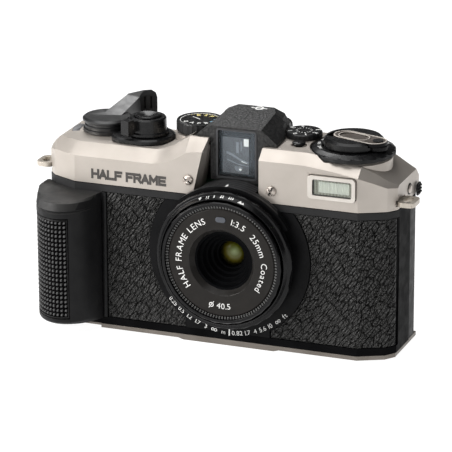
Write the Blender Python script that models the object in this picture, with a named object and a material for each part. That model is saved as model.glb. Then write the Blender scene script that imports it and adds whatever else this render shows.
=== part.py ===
"""Compact half frame film camera: silver top and base plates, leather body, lever wind, three dials.

Lengths below are millimetres; the helpers turn them into metres. +Z is up, the lens looks towards -Y,
and the world origin is the middle of the base. Each moving piece has its origin on its joint axis.
"""
import bpy
import bmesh
import math
from mathutils import Vector, Matrix

MM = 0.001

# Body, seen from above. The front leather plane, the door seam and the rear face.
FRONT = -15.0
SEAM = 6.0
BACK = 16.0
STRIP_TOP = 52.8
COVER_BOTTOM = 53.05
BODY_PLAN = [(-62.3, SEAM), (-62.3, -7.4), (-59.3, -10.8), (-50.2, FRONT), (51.7, FRONT),
             (60.6, -10.6), (63.3, -7.0), (63.5, SEAM)]
LEATHER = 0.8
LEATHER_Z = (5.0, 50.2)

# Lens. The name ring and front glass travel along Y as the focus ring turns.
LENS_X = 6.2
LENS_Z = 32.6
PANEL_R = 29.0
FOCUS_R = 24.5

# Vertical axes of the controls on the top plate.
WIND = (-46.2, 5.0)
SHUTTER = (-29.2, 0.4)
MODE = (-11.3, 4.0)
EXPOSURE = (25.3, 6.6)
LOCK = (27.0, -3.4)
REWIND = (44.9, 0.8)
CRANK_DIR = math.radians(-17.0)
TAB_DIR = math.radians(-113.0)
SPOOL = (-46.2, 2.0)
SPROCKET = (-24.5, 5.2)
HINGE = (-61.0, 8.6)
COUNTER = (-49.5, 4.5)
BATTERY = (-51.6, -20.0)

COLOURS = {
    "silver": (0.62, 0.58, 0.54), "black": (0.030, 0.030, 0.032), "leather": (0.045, 0.045, 0.047),
    "chrome": (0.75, 0.75, 0.76), "glass": (0.55, 0.62, 0.66), "rubber": (0.022, 0.022, 0.024),
    "green": (0.05, 0.22, 0.10), "brown": (0.085, 0.075, 0.068), "copper": (0.60, 0.38, 0.14),
}

for old in list(bpy.data.objects):
    bpy.data.objects.remove(old, do_unlink=True)

parts = bpy.data.collections.new("half_frame_camera")
cutters = bpy.data.collections.new("cutters")
bpy.context.scene.collection.children.link(parts)
bpy.context.scene.collection.children.link(cutters)
PAINTS = {}


def paint(name, colour):
    """A Principled material of its own for one piece."""
    mat = bpy.data.materials.new(name)
    mat.use_nodes = True
    shader = mat.node_tree.nodes["Principled BSDF"]
    rgb = COLOURS[colour]
    shader.inputs["Base Color"].default_value = (rgb[0], rgb[1], rgb[2], 1.0)
    shader.inputs["Roughness"].default_value = 0.5
    mat.diffuse_color = (rgb[0], rgb[1], rgb[2], 1.0)
    return mat


def piece(name, bm, colour, pivot=(0.0, 0.0, 0.0)):
    """Turn a millimetre bmesh into a named part whose origin is its pivot."""
    bmesh.ops.remove_doubles(bm, verts=bm.verts, dist=0.004)
    bmesh.ops.recalc_face_normals(bm, faces=bm.faces)
    base = Vector(pivot)
    for vert in bm.verts:
        vert.co = (vert.co - base) * MM
    mesh = bpy.data.meshes.new(name)
    bm.to_mesh(mesh)
    bm.free()
    obj = bpy.data.objects.new(name, mesh)
    obj.location = base * MM
    if colour is None:
        cutters.objects.link(obj)
        obj.hide_render = True
        obj.display_type = 'WIRE'
    else:
        parts.objects.link(obj)
        mesh.materials.append(paint(name, colour))
    return obj


def tool(obj, bm, operation):
    """Boolean one hidden solid into a part."""
    other = piece("cut_%s_%d" % (obj.name, len(obj.modifiers)), bm, None)
    mod = obj.modifiers.new("bool_%d" % len(obj.modifiers), 'BOOLEAN')
    mod.operation = operation
    mod.solver = 'EXACT'
    mod.object = other
    return obj


def cut(obj, *solids):
    for bm in solids:
        tool(obj, bm, 'DIFFERENCE')
    return obj


def add(obj, *solids):
    for bm in solids:
        tool(obj, bm, 'UNION')
    return obj


def place(axis, a, b, c):
    """Point with section coordinates a, b and height c along the named axis."""
    if axis == 'x':
        return Vector((c, a, b))
    if axis == 'y':
        return Vector((a, c, b))
    return Vector((a, b, c))


def loft(rings):
    """Closed solid through rings that have the same number of points."""
    bm = bmesh.new()
    rows = []
    for ring in rings:
        rows.append([bm.verts.new(p) for p in ring])
    count = len(rows[0])
    for low, high in zip(rows, rows[1:]):
        for i in range(count):
            j = (i + 1) % count
            bm.faces.new((low[i], low[j], high[j], high[i]))
    bm.faces.new(rows[0])
    bm.faces.new(list(reversed(rows[-1])))
    return bm


def prism(points, low, high, axis='z'):
    """Extrude an outline between two heights."""
    return loft([[place(axis, a, b, low) for a, b in points], [place(axis, a, b, high) for a, b in points]])


def box(x0, x1, y0, y1, z0, z1):
    return prism([(x0, y0), (x1, y0), (x1, y1), (x0, y1)], z0, z1)


def circle(cx, cy, radius, steps, start=0.0):
    out = []
    for i in range(steps):
        angle = start + 2.0 * math.pi * i / steps
        out.append((cx + radius * math.cos(angle), cy + radius * math.sin(angle)))
    return out


def rod(cx, cy, radius, low, high, steps=32, axis='z'):
    return prism(circle(cx, cy, radius, steps), low, high, axis)


def lathe(profile, cx, cy, steps=48, axis='z', closed=False, wobble=None):
    """Turn a (radius, height) profile about an axis; wobble(angle, radius) may scallop the rim."""
    bm = bmesh.new()
    rows = []
    for i in range(steps):
        angle = 2.0 * math.pi * i / steps
        row = []
        for radius, height in profile:
            reach = wobble(i, radius) if wobble else radius
            a = cx + reach * math.cos(angle)
            b = cy + reach * math.sin(angle)
            row.append(bm.verts.new(place(axis, a, b, height)))
        rows.append(row)
    last = len(profile) if closed else len(profile) - 1
    for i in range(steps):
        j = (i + 1) % steps
        for k in range(last):
            m = (k + 1) % len(profile)
            bm.faces.new((rows[i][k], rows[j][k], rows[j][m], rows[i][m]))
    bmesh.ops.remove_doubles(bm, verts=bm.verts, dist=0.0005)
    return bm


def rounded(x0, x1, y0, y1, radius, steps=4):
    """Rectangle outline with rounded corners."""
    out = []
    for cx, cy, start in ((x1 - radius, y1 - radius, 0), (x0 + radius, y1 - radius, 90),
                          (x0 + radius, y0 + radius, 180), (x1 - radius, y0 + radius, 270)):
        for i in range(steps + 1):
            angle = math.radians(start + 90.0 * i / steps)
            out.append((cx + radius * math.cos(angle), cy + radius * math.sin(angle)))
    return out


def smooth(points, per):
    """Catmull-Rom curve through open control points."""
    out = []
    for i in range(len(points) - 1):
        p0 = Vector(points[max(i - 1, 0)])
        p1 = Vector(points[i])
        p2 = Vector(points[i + 1])
        p3 = Vector(points[min(i + 2, len(points) - 1)])
        for k in range(per):
            t = k / per
            q = 0.5 * ((2 * p1) + (p2 - p0) * t + (2 * p0 - 5 * p1 + 4 * p2 - p3) * t * t
                       + (3 * p1 - p0 - 3 * p2 + p3) * t ** 3)
            out.append((q.x, q.y))
    out.append(tuple(points[-1]))
    return out


def offset(points, amount):
    """Shift an open path sideways, to the left of its direction of travel."""
    out = []
    for i, point in enumerate(points):
        here = Vector(point)
        before = Vector(points[max(i - 1, 0)])
        after = Vector(points[min(i + 1, len(points) - 1)])
        a = (here - before).normalized() if i > 0 else (after - here).normalized()
        b = (after - here).normalized() if i < len(points) - 1 else a
        bend = (a + b).normalized()
        normal = Vector((-bend.y, bend.x))
        reach = amount / max(0.35, normal.dot(Vector((-a.y, a.x))))
        out.append((here.x + normal.x * reach, here.y + normal.y * reach))
    return out


def band(path, inner, outer, low, high):
    """Sheet that follows a path, between two sideways offsets."""
    return prism(offset(path, inner) + list(reversed(offset(path, outer))), low, high)


def hull_of_circles(circles, steps=48):
    """Convex outline round several (x, y, radius) circles."""
    out = []
    for i in range(steps):
        angle = 2.0 * math.pi * i / steps
        ux = math.cos(angle)
        uy = math.sin(angle)
        best = max(circles, key=lambda c: c[0] * ux + c[1] * uy + c[2])
        out.append((best[0] + best[2] * ux, best[1] + best[2] * uy))
    return out


def turned(bm, angle, centre, axis='Z'):
    """Turn a solid about a point."""
    bmesh.ops.rotate(bm, verts=bm.verts, cent=Vector(centre), matrix=Matrix.Rotation(angle, 3, axis))
    return bm


# ---------------------------------------------------------------- body, base and grip
front_path = [(-40.2, FRONT), (51.7, FRONT), (60.6, -10.6), (63.3, -7.0), (63.4, -5.5)]
inner_plan = [(-60.2, SEAM + 1), (-60.2, -6.0), (-57.6, -8.6), (-49.0, -11.8), (50.6, -11.8),
              (58.6, -8.2), (61.2, -5.4), (61.4, SEAM + 1)]

body_shell = piece("body_shell", prism(BODY_PLAN, 2.3, STRIP_TOP), "black")
cut(body_shell, band(front_path, 0.95, -3.0, 4.8, 50.4))
cut(body_shell, prism(inner_plan, 4.4, 50.3))
cut(body_shell, rod(LENS_X, LENS_Z, 21.4, -16.0, -10.0, 64, 'y'))
cut(body_shell, rod(BATTERY[0], BATTERY[1], 8.6, 4.4, 44.0, 40))

base_plan = [(-61.9, 15.6), (-61.9, -7.2), (-59.0, -10.5), (-50.1, -14.7), (51.6, -14.7),
             (60.3, -10.4), (62.9, -6.9), (63.1, 15.6)]
bottom_cover = piece("bottom_cover", prism(base_plan, 0.55, 2.05), "silver")
pad = [(-13.0, 0.6), (-11.0, 0.0), (22.0, 0.0), (24.0, 0.6)]
add(bottom_cover, prism(pad + [(24.0, 1.2), (-13.0, 1.2)], -14.7, 15.6, 'y'))
cut(bottom_cover, rod(LENS_X, 2.0, 4.6, -1.0, 3.0, 32))
cut(bottom_cover, rod(-26.0, 2.0, 3.0, -1.0, 3.0, 24))
for sx, sy in ((-54.0, -6.5), (55.0, -6.0)):
    cut(bottom_cover, rod(sx, sy, 2.3, 0.0, 1.35, 24))
cut(bottom_cover, box(-64.0, -41.5, -16.0, -12.6, 0.0, 3.0))

grip_arc = smooth([(-63.4, -8.2), (-63.5, -13.0), (-63.0, -18.0), (-60.9, -23.6), (-57.0, -28.0), (-52.0, -29.9),
                   (-47.2, -28.3), (-43.6, -24.4), (-41.4, -19.0), (-40.5, -15.2)], 4)
grip_back = [(-50.3, -15.25), (-59.5, -11.0), (-62.6, -7.7)]


def grip_ring(height, push, squash):
    """Grip outline at one height; push draws the front back, squash thins the top."""
    ring = []
    for x, y in grip_arc + grip_back:
        depth = max(0.0, (-15.2 - y) / 14.7)
        ring.append(Vector((x + (x + 52.0) * -0.03 * push * depth, y + push * depth, height + squash * depth)))
    return ring


grip_levels = [(4.4, 1.6, 0.9), (6.2, 0.3, 0.0), (45.5, 0.0, 0.0), (45.8, 0.5, 0.0), (46.2, 0.5, 0.0),
               (46.5, 0.0, 0.0), (48.8, 1.4, 0.0), (50.2, 3.6, -1.4)]
grip_shell = piece("grip_shell", loft([grip_ring(z, push, squash) for z, push, squash in grip_levels]), "black")
pad_path = [p for p in grip_arc if p[0] < -46.3 and p[1] < -8.0]
cut(grip_shell, band(pad_path[1:], 1.15, -2.0, 7.4, 43.8))
cut(grip_shell, rod(BATTERY[0], BATTERY[1], 8.1, 1.0, 43.0, 40))


def shortened(path, amount):
    """Same open path with both ends drawn in."""
    out = [Vector(point) for point in path]
    out[0] = out[0] + (out[1] - out[0]).normalized() * amount
    out[-1] = out[-1] + (out[-2] - out[-1]).normalized() * amount
    return [(point.x, point.y) for point in out]


grip_rubber = piece("grip_rubber", band(shortened(pad_path[1:], 0.3), 0.95, 0.0, 7.6, 43.6), "rubber")

battery_cover = piece("battery_cover", rod(BATTERY[0], BATTERY[1], 7.8, 5.6, 8.2, 32), "black",
                      (BATTERY[0], BATTERY[1], 7.0))
cut(battery_cover, box(-55.0, -48.2, BATTERY[1] - 0.6, BATTERY[1] + 0.6, 5.0, 6.4))
battery = piece("battery", lathe([(0, 9.0), (6.6, 9.0), (7.7, 9.8), (7.7, 35.4), (6.9, 36.0), (2.9, 36.0),
                                  (2.9, 37.0), (0, 37.0)], BATTERY[0], BATTERY[1], 24), "copper")


def leather_panel(name, path, window):
    """Leather skin on the front path, cut to the round lens panel and the foot under it."""
    obj = piece(name, band(path, LEATHER, 0.0, LEATHER_Z[0], LEATHER_Z[1]), "leather")
    cut(obj, rod(LENS_X, LENS_Z, PANEL_R + 0.2, -16.5, -13.0, 72, 'y'))
    cut(obj, box(-10.0, 21.2, -16.5, -13.0, 4.0, 9.0))
    cut(obj, window)
    return obj


leather_left = leather_panel("leather_left", [(-38.4, FRONT), (LENS_X, FRONT)],
                             box(LENS_X - 0.2, LENS_X + 5, -16.5, -13.0, 4.0, 52.0))
leather_right = leather_panel("leather_right", [(LENS_X, FRONT), (51.7, FRONT), (60.6, -10.6), (63.1, -7.3)],
                              box(LENS_X - 5, LENS_X + 0.2, -16.5, -13.0, 4.0, 52.0))
grip_trim = piece("grip_trim", box(-40.1, -38.7, -15.5, -14.3, 5.0, 50.2), "black")

# ---------------------------------------------------------------- top cover
# Sections from left to right: x, front face y, lower bevel edge z, top z.
TOP = [(-62.2, -7.4, 61.2, 62.4), (-60.9, -9.0, 61.9, 64.0), (-59.3, -10.8, 62.2, 65.6), (-58.4, -11.2, 62.3, 66.0),
       (-50.2, FRONT, 62.3, 66.0), (-22.0, FRONT, 62.3, 66.0), (-19.0, FRONT, 62.6, 66.7), (-16.0, FRONT, 63.5, 68.0),
       (-13.0, FRONT, 65.0, 69.8), (-9.5, FRONT, 67.2, 72.0), (-7.0, FRONT, 68.0, 72.0), (-3.0, FRONT, 68.3, 72.0),
       (16.0, FRONT, 67.5, 70.7), (33.0, FRONT, 67.5, 70.7), (43.0, FRONT, 66.4, 69.4), (51.7, FRONT, 64.9, 67.9),
       (56.5, -12.6, 63.0, 65.4), (60.6, -10.5, 61.2, 62.9), (63.2, -7.0, 60.6, 61.4)]


def cover_ring(x, y, low, high, inset, floor):
    """One cross section of the top cover, or of the hollow inside it."""
    rise = min(4.8, (high - low) * 1.3)
    return [Vector(p) for p in ((x, y + inset, floor), (x, y + inset, low - inset * 0.5),
                                (x, y + rise + inset * 0.6, high - inset),
                                (x, BACK - 3.0 - inset * 0.6, high - inset),
                                (x, BACK - inset, high - 3.0 - inset * 0.5), (x, BACK - inset, floor))]


top_cover = piece("top_cover", loft([cover_ring(x, y, a, b, 0.0, COVER_BOTTOM) for x, y, a, b in TOP]),
                  "silver")
inside = [cover_ring(x, y, a, b, 1.6, 50.0) for x, y, a, b in TOP[3:-2]]
inside[0] = [Vector((-59.6, p.y, p.z)) for p in inside[0]]
cut(top_cover, loft(inside))
add(top_cover, rod(MODE[0], MODE[1], 8.5, 63.8, 69.7, 40))
add(top_cover, lathe([(0, 62.1), (13.3, 62.1), (13.3, 67.9), (12.6, 68.65), (0, 68.65)], REWIND[0], REWIND[1], 48))
cheek = [(-13.7, COVER_BOTTOM), (-6.2, COVER_BOTTOM), (-6.2, 69.4), (-11.3, 69.4), (-13.7, 67.9)]
for low_x, high_x in ((-7.6, -2.0), (15.6, 20.6)):
    add(top_cover, prism(cheek, low_x, high_x, 'x'))
cut(top_cover, rod(MODE[0], MODE[1], 8.75, 69.6, 80.0, 40))
cut(top_cover, rod(REWIND[0], REWIND[1], 14.7, 68.55, 80.0, 41))
cut(top_cover, rod(REWIND[0], REWIND[1], 2.35, 52.0, 72.0, 22))
cut(top_cover, rod(REWIND[0], REWIND[1], 11.63, 52.0, 66.43, 37))
cut(top_cover, rod(WIND[0], WIND[1], 2.4, 60.0, 70.0, 24))
cut(top_cover, rod(SHUTTER[0], SHUTTER[1], 2.2, 60.0, 70.0, 24))


def channel(y, left_low, left_high, right_low, right_high):
    """Opening for the finder between the two halves of the front face, at one depth."""
    return [Vector((left_low, y, 52.0)), Vector((left_low, y, 53.6)), Vector((left_high, y, 68.3)),
            Vector((left_high, y, 80.0)), Vector((right_high, y, 80.0)), Vector((right_high, y, 56.0)),
            Vector((right_low, y, 53.6)), Vector((right_low, y, 52.0))]


cut(top_cover, loft([channel(-16.0, -7.6, -4.2, 19.4, 17.0), channel(-15.0, -6.8, -3.4, 19.2, 16.8),
                     channel(-11.0, -5.6, -2.9, 18.6, 16.7), channel(-5.0, -5.6, -2.9, 18.6, 16.7)]))
hump_gap = 0.25
cut(top_cover, box(-9.2 - hump_gap, 21.2 + hump_gap, -9.0 - hump_gap, BACK - 1.9, 70.55, 80.0))
cut(top_cover, box(-2.9, 16.7, -6.0, 12.9, 56.0, 76.0))
cut(top_cover, box(-2.0, 14.5, 12.0, 18.0, 60.3, 70.1))
cut(top_cover, prism(rounded(34.2, 51.3, 56.5, 64.95, 1.4), -16.5, -12.0, 'y'))
cut(top_cover, box(35.9, 50.0, -14.0, -8.4, 57.5, 63.9))
cut(top_cover, prism(hull_of_circles([(-29.2, 0.4, 9.9), (-35.6, -3.6, 5.5)], 32), 66.0, 80.0))


def counter_sector(inner, outer, spare):
    """Curved slot beside the wind lever that shows the frame number."""
    pts = []
    for k in range(9):
        a = math.radians(164 - spare + k * (42 + 2 * spare) / 8)
        pts.append((WIND[0] + outer * math.cos(a), WIND[1] + outer * math.sin(a)))
    for k in range(8, -1, -1):
        a = math.radians(164 - spare + k * (42 + 2 * spare) / 8)
        pts.append((WIND[0] + inner * math.cos(a), WIND[1] + inner * math.sin(a)))
    return pts


cut(top_cover, prism(counter_sector(9.6, 12.3, 1.0), 62.0, 68.0))

# ---------------------------------------------------------------- finder
def hump_ring(y, foot, low, mid, roof, z_low, z_mid, z_roof):
    return [Vector(p) for p in ((LENS_X - foot, y, 70.8), (LENS_X + foot, y, 70.8), (LENS_X + low, y, z_low),
                                (LENS_X + mid, y, z_mid), (LENS_X + roof, y, z_roof), (LENS_X - roof, y, z_roof),
                                (LENS_X - mid, y, z_mid), (LENS_X - low, y, z_low))]


viewfinder_hump = piece("viewfinder_hump",
                        loft([hump_ring(-9.0, 15.0, 15.0, 11.9, 9.3, 71.5, 74.2, 76.1),
                              hump_ring(7.0, 14.0, 13.8, 11.2, 8.6, 72.4, 75.5, 77.6),
                              hump_ring(12.0, 12.4, 12.0, 10.2, 6.4, 73.0, 76.4, 78.0),
                              hump_ring(13.9, 12.0, 11.6, 9.4, 5.2, 73.0, 75.6, 77.2)]), "black")
add(viewfinder_hump, box(-2.6, 16.4, -9.0, -6.3, 57.2, 71.6))
cut(viewfinder_hump, box(-0.1, 13.5, -9.5, -5.0, 58.6, 75.0))
cut(viewfinder_hump, box(-1.6, 14.8, -6.3, 12.4, 56.5, 75.2))
cut(viewfinder_hump, rod(MODE[0], MODE[1], 8.75, 66.0, 80.0, 40))
cut(viewfinder_hump, rod(EXPOSURE[0], EXPOSURE[1], 6.95, 66.0, 80.0, 48))
finder_front_glass = piece("finder_front_glass", box(0.05, 13.35, -7.9, -6.9, 58.75, 74.85), "glass")
finder_tube = piece("finder_tube", box(-1.3, 14.5, -5.9, 11.8, 57.2, 74.9), "black")


def upright(y, x0, x1, z0, z1):
    """Rectangle standing across the Y axis."""
    return [Vector((x0, y, z0)), Vector((x1, y, z0)), Vector((x1, y, z1)), Vector((x0, y, z1))]


cut(finder_tube, loft([upright(-6.5, -0.1, 13.5, 58.6, 74.0), upright(12.5, 1.8, 11.6, 61.6, 70.6)]))
eyepiece_frame = piece("eyepiece_frame", prism(rounded(-3.4, 15.8, 58.8, 71.8, 2.4), 16.3, 22.0, 'y'), "rubber")
add(eyepiece_frame, prism(rounded(-1.7, 14.2, 60.6, 69.8, 1.6), 12.3, 17.0, 'y'))
cut(eyepiece_frame, prism(rounded(0.2, 12.4, 61.6, 68.9, 1.4), 11.0, 24.0, 'y'))
cut(eyepiece_frame, loft([[Vector((a, 18.5, b)) for a, b in rounded(0.2, 12.4, 61.6, 68.9, 1.4)],
                          [Vector((a, 23.0, b)) for a, b in rounded(-2.2, 14.6, 59.9, 70.7, 2.0)]]))
eyepiece_lens = piece("eyepiece_lens", prism(rounded(0.35, 12.25, 61.75, 68.75, 1.3), 14.6, 16.6, 'y'), "glass")

# ---------------------------------------------------------------- flash and front screws
flash_bezel = piece("flash_bezel", prism(rounded(34.4, 51.1, 56.7, 64.75, 1.2), -16.1, -12.4, 'y'), "chrome")
cut(flash_bezel, prism(rounded(36.1, 49.8, 57.9, 63.5, 0.7), -17.0, -11.0, 'y'))
flash_window = piece("flash_window", prism(rounded(36.3, 49.6, 58.1, 63.3, 0.8), -15.3, -14.0, 'y'), "glass")
flash_reflector = piece("flash_reflector", prism(rounded(36.4, 49.5, 58.15, 63.25, 0.8), -13.8, -9.0, 'y'), "chrome")
cut(flash_reflector, loft([[Vector((a, -14.2, b)) for a, b in rounded(36.8, 49.1, 58.4, 63.0, 0.4)],
                           [Vector((a, -9.7, b)) for a, b in rounded(38.8, 47.1, 60.3, 61.1, 0.3)]]))


def dome_screw(name, centre, axis, sign, slot_angle):
    """Slotted dome head; the axis is 'x' or 'y' and sign tells which way it faces."""
    along = centre[1] if axis == 'y' else centre[0]
    a = centre[0] if axis == 'y' else centre[1]
    b = centre[2]
    profile = [(0, 0.0), (1.8, 0.0), (1.75, 0.35), (1.3, 0.75), (0.7, 0.95), (0, 1.0)]
    obj = piece(name, lathe([(r, along + sign * h) for r, h in profile], a, b, 16, axis), "chrome")
    bar = box(-2.2, 2.2, -0.28, 0.28, -0.3, 0.3) if axis == 'x' else box(-2.2, 2.2, -0.3, 0.3, -0.28, 0.28)
    turned(bar, slot_angle, (0, 0, 0), 'Y' if axis == 'y' else 'X')
    if axis == 'x':
        turned(bar, math.pi / 2, (0, 0, 0), 'Z')
    shift = Vector((a, along + sign * 0.8, b)) if axis == 'y' else Vector((along + sign * 0.8, a, b))
    bmesh.ops.translate(bar, verts=bar.verts, vec=shift)
    cut(obj, bar)
    return obj


dome_screw("front_screw_left", (-8.5, -15.15, 58.0), 'y', -1, math.radians(-33))
dome_screw("front_screw_right", (21.3, -15.15, 57.3), 'y', -1, math.radians(64))
for tag, sx, sy in (("left", -54.0, -6.5), ("right", 55.0, -6.0)):
    head = piece("base_screw_" + tag, lathe([(0, 1.2), (2.0, 1.2), (2.0, 0.75), (1.6, 0.5), (0, 0.45)], sx, sy, 24),
                 "chrome")
    cut(head, box(sx - 1.5, sx + 1.5, sy - 0.25, sy + 0.25, 0.2, 0.8))
    cut(head, box(sx - 0.25, sx + 0.25, sy - 1.5, sy + 1.5, 0.2, 0.8))

# ---------------------------------------------------------------- strap lugs
lug_left = piece("strap_lug_left", prism(rounded(-68.2, -61.9, -8.0, 0.6, 2.4, 6), 54.4, 56.0), "chrome")
cut(lug_left, prism(rounded(-66.6, -63.5, -6.4, -1.0, 1.5, 6), 50.0, 60.0))
lug_right = piece("strap_lug_right", prism(rounded(62.9, 69.0, -8.4, 0.2, 2.0, 6), 54.4, 56.0), "chrome")
cut(lug_right, prism(rounded(64.6, 67.4, -6.8, -1.4, 1.2, 6), 50.0, 60.0))
for lug in ((-63.2, -61.0, -8.3, 0.9), (62.6, 64.0, -8.7, 0.5)):
    cut(top_cover, box(lug[0], lug[1], lug[2], lug[3], 54.15, 56.25))

# ---------------------------------------------------------------- lens
foot = [(-9.6, 4.95), (20.8, 4.95), (20.8, 16.0), (-9.6, 16.0)]
front_panel = piece("front_panel", prism(foot, -15.25, -14.3, 'y'), "black")
add(front_panel, rod(LENS_X, LENS_Z, PANEL_R, -15.25, -14.3, 72, 'y'))
cut(front_panel, box(-30, 40, -18, -10, 50.25, 70), box(-30, 40, -18, -10, 0, 4.95))


def brow(radius_in, radius_out, a0, a1, y0, y1, steps=24):
    """Arched ledge over the top of the lens."""
    pts = []
    for i in range(steps + 1):
        a = math.radians(a0 + (a1 - a0) * i / steps)
        pts.append((LENS_X + radius_out * math.cos(a), LENS_Z + radius_out * math.sin(a)))
    for i in range(steps + 1):
        a = math.radians(a1 + (a0 - a1) * i / steps)
        pts.append((LENS_X + radius_in * math.cos(a), LENS_Z + radius_in * math.sin(a)))
    return prism(pts, y0, y1, 'y')


add(front_panel, brow(22.8, 25.5, 30, 150, -18.2, -15.2, 28))
add(front_panel, brow(22.8, 25.5, 68.0, 113.0, -15.6, -9.4))
cut(front_panel, rod(LENS_X, LENS_Z, 21.6, -15.4, -10, 64, 'y'))


def knurl(index, radius):
    """Wide finger grips at the two sides of the focus ring's largest part, fine flutes between them."""
    if radius < FOCUS_R - 0.05:
        return radius
    around = index * 6 % 360
    if min(around, 360 - around) < 40 or abs(around - 180) < 40:
        return radius - (0.5 if (index // 2) % 3 == 2 else 0.0)
    return radius - (0.25 if index % 2 else 0.0)


focus_profile = [(22.0, -22.3), (22.4, -22.4), (23.2, -20.9), (24.1, -20.8), (FOCUS_R, -20.4), (FOCUS_R, -18.9),
                 (24.2, -18.6), (22.4, -18.5), (22.4, -15.6), (21.4, -15.6), (21.4, -20.9), (22.0, -21.2)]
focus_ring = piece("focus_ring", lathe(focus_profile, LENS_X, LENS_Z, 60, 'y', True, knurl), "black",
                   (LENS_X, -18.0, LENS_Z))
barrel_profile = [(20.1, -18.4), (21.1, -18.4), (21.1, -12.2), (20.1, -12.2)]
lens_barrel = piece("lens_barrel", lathe(barrel_profile, LENS_X, LENS_Z, 44, 'y', True), "black")
filter_profile = [(20.2, -23.6), (21.1, -23.6), (21.6, -23.1), (21.6, -22.6), (21.0, -22.3), (19.8, -22.1),
                  (19.8, -14.4), (19.3, -14.4), (19.3, -22.2), (20.1, -22.4)]
filter_ring = piece("filter_ring", lathe(filter_profile, LENS_X, LENS_Z, 60, 'y', True,
                                         lambda i, r: r - (0.18 if r > 21.5 and i % 2 else 0.0)), "black",
                    (LENS_X, -18.0, LENS_Z))
cone_profile = [(19.1, -22.4), (18.7, -22.7), (11.7, -22.7), (10.4, -20.4), (9.6, -20.4), (9.2, -18.4), (8.4, -18.4),
                (7.9, -16.6), (7.1, -16.6), (6.6, -14.9), (5.8, -14.9), (5.2, -13.2), (4.6, -13.2), (4.6, -9.6),
                (11.0, -9.6), (11.0, -19.4), (19.1, -20.8)]
lens_cone = piece("lens_cone", lathe(cone_profile, LENS_X, LENS_Z, 48, 'y', True), "brown",
                  (LENS_X, -18.0, LENS_Z))
lens_profile = [(0, -13.0), (1.6, -12.85), (3.1, -12.4), (4.5, -11.6), (4.5, -10.6), (0, -10.6)]
front_lens = piece("front_lens", lathe(lens_profile, LENS_X, LENS_Z, 32, 'y'), "glass", (LENS_X, -18.0, LENS_Z))
sensor_outline = [(LENS_X + a, LENS_Z + b) for a, b in rounded(-1.9, 1.7, 14.4, 16.3, 0.9, 5)]
sensor_window = piece("sensor_window", prism(sensor_outline, -22.98, -22.76, 'y'), "glass",
                      (LENS_X, -18.0, LENS_Z))
shutter_profile = [(3.0, -7.3), (14.0, -7.3), (14.0, -4.2), (6.2, -4.2), (6.2, -1.0), (5.15, -1.0), (5.15, -4.6),
                   (3.0, -4.6)]
shutter_unit = piece("shutter_unit", lathe(shutter_profile, LENS_X, LENS_Z, 24, 'y', True), "black")
rear_lens = piece("rear_lens", lathe([(0, -4.2), (5.0, -4.2), (5.0, -2.4), (3.2, -1.8), (0, -1.5)],
                                     LENS_X, LENS_Z, 24, 'y'), "glass")

# ---------------------------------------------------------------- inside the body
chassis_plan = [(-57.0, 10.6), (-58.8, 5.4), (-58.8, -6.0), (-55.0, -9.0), (57.4, -8.0), (60.2, -5.0), (60.2, 5.4),
                (58.9, 10.6)]
film_chassis = piece("film_chassis", prism(chassis_plan, 4.8, 50.0), "black")
for centre, radius, low, high, steps in ((REWIND, 12.6, 5.6, 52.0, 40), (SPOOL, 9.4, 5.8, 49.0, 40),
                                         (SPROCKET, 5.6, 5.8, 49.0, 32)):
    cut(film_chassis, rod(centre[0], centre[1], radius, low, high, steps))
    cut(film_chassis, box(centre[0] - radius, centre[0] + radius, centre[1], 12.0, low, high))
cut(film_chassis, rod(LENS_X, LENS_Z, 14.8, -12.0, -3.4, 48, 'y'))
cut(film_chassis, box(LENS_X - 8.5, LENS_X + 8.5, -4.0, 12.0, LENS_Z - 12.0, LENS_Z + 12.0))
cut(film_chassis, rod(BATTERY[0], BATTERY[1], 12.0, 4.0, 51.0, 32))
takeup_spool = piece("takeup_spool", lathe([(0, 6.2), (7.6, 6.2), (7.6, 7.4), (5.4, 7.8), (5.4, 46.6), (7.6, 47.0),
                                            (7.6, 48.4), (0, 48.4)], SPOOL[0], SPOOL[1], 24), "black",
                     (SPOOL[0], SPOOL[1], 27.0))
cut(takeup_spool, box(SPOOL[0] - 1.0, SPOOL[0] + 1.0, SPOOL[1] - 7, SPOOL[1] + 7, 20.0, 34.0))


def toothed(index, radius):
    """Sprocket teeth: one tooth for every three steps of the lathe."""
    return radius + (1.0 if radius > 3.9 and index % 3 == 0 else 0.0)


sprocket = piece("film_sprocket", lathe([(0, 6.2), (3.3, 6.2), (3.3, 18.0), (4.0, 18.3), (4.0, 19.4), (3.3, 19.7),
                                         (3.3, 45.0), (4.0, 45.3), (4.0, 46.4), (3.3, 46.7), (3.3, 48.6), (0, 48.6)],
                                        SPROCKET[0], SPROCKET[1], 24, 'z', False, toothed), "black",
                 (SPROCKET[0], SPROCKET[1], 27.0))
circuit_board = piece("circuit_board", box(-56.0, 29.0, -5.8, 12.4, 53.6, 54.6), "green")
flash_capacitor = piece("flash_capacitor", rod(-1.0, 60.4, 4.2, 18.0, 29.6, 24, 'x'), "chrome")
socket = piece("tripod_socket", rod(LENS_X, 2.0, 4.4, 0.12, 6.4, 32), "chrome")
cut(socket, rod(LENS_X, 2.0, 3.18, -1.0, 5.8, 40))
cut(film_chassis, rod(LENS_X, 2.0, 4.7, 4.0, 6.7, 32), rod(-26.0, 2.0, 2.6, 4.0, 6.4, 24))
release_profile = [(0, 0.75), (2.0, 0.75), (2.7, 1.05), (2.7, 2.6), (2.2, 2.6), (2.2, 3.9), (0, 3.9)]
release = piece("rewind_release_button", lathe(release_profile, -26.0, 2.0, 24), "black", (-26.0, 2.0, 1.0))
cut(body_shell, rod(-26.0, 2.0, 3.1, 1.0, 4.5, 24), rod(LENS_X, 2.0, 4.7, 1.0, 4.5, 24))
cut(body_shell, rod(REWIND[0], REWIND[1], 3.7, 50.0, 54.0, 24))

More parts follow.
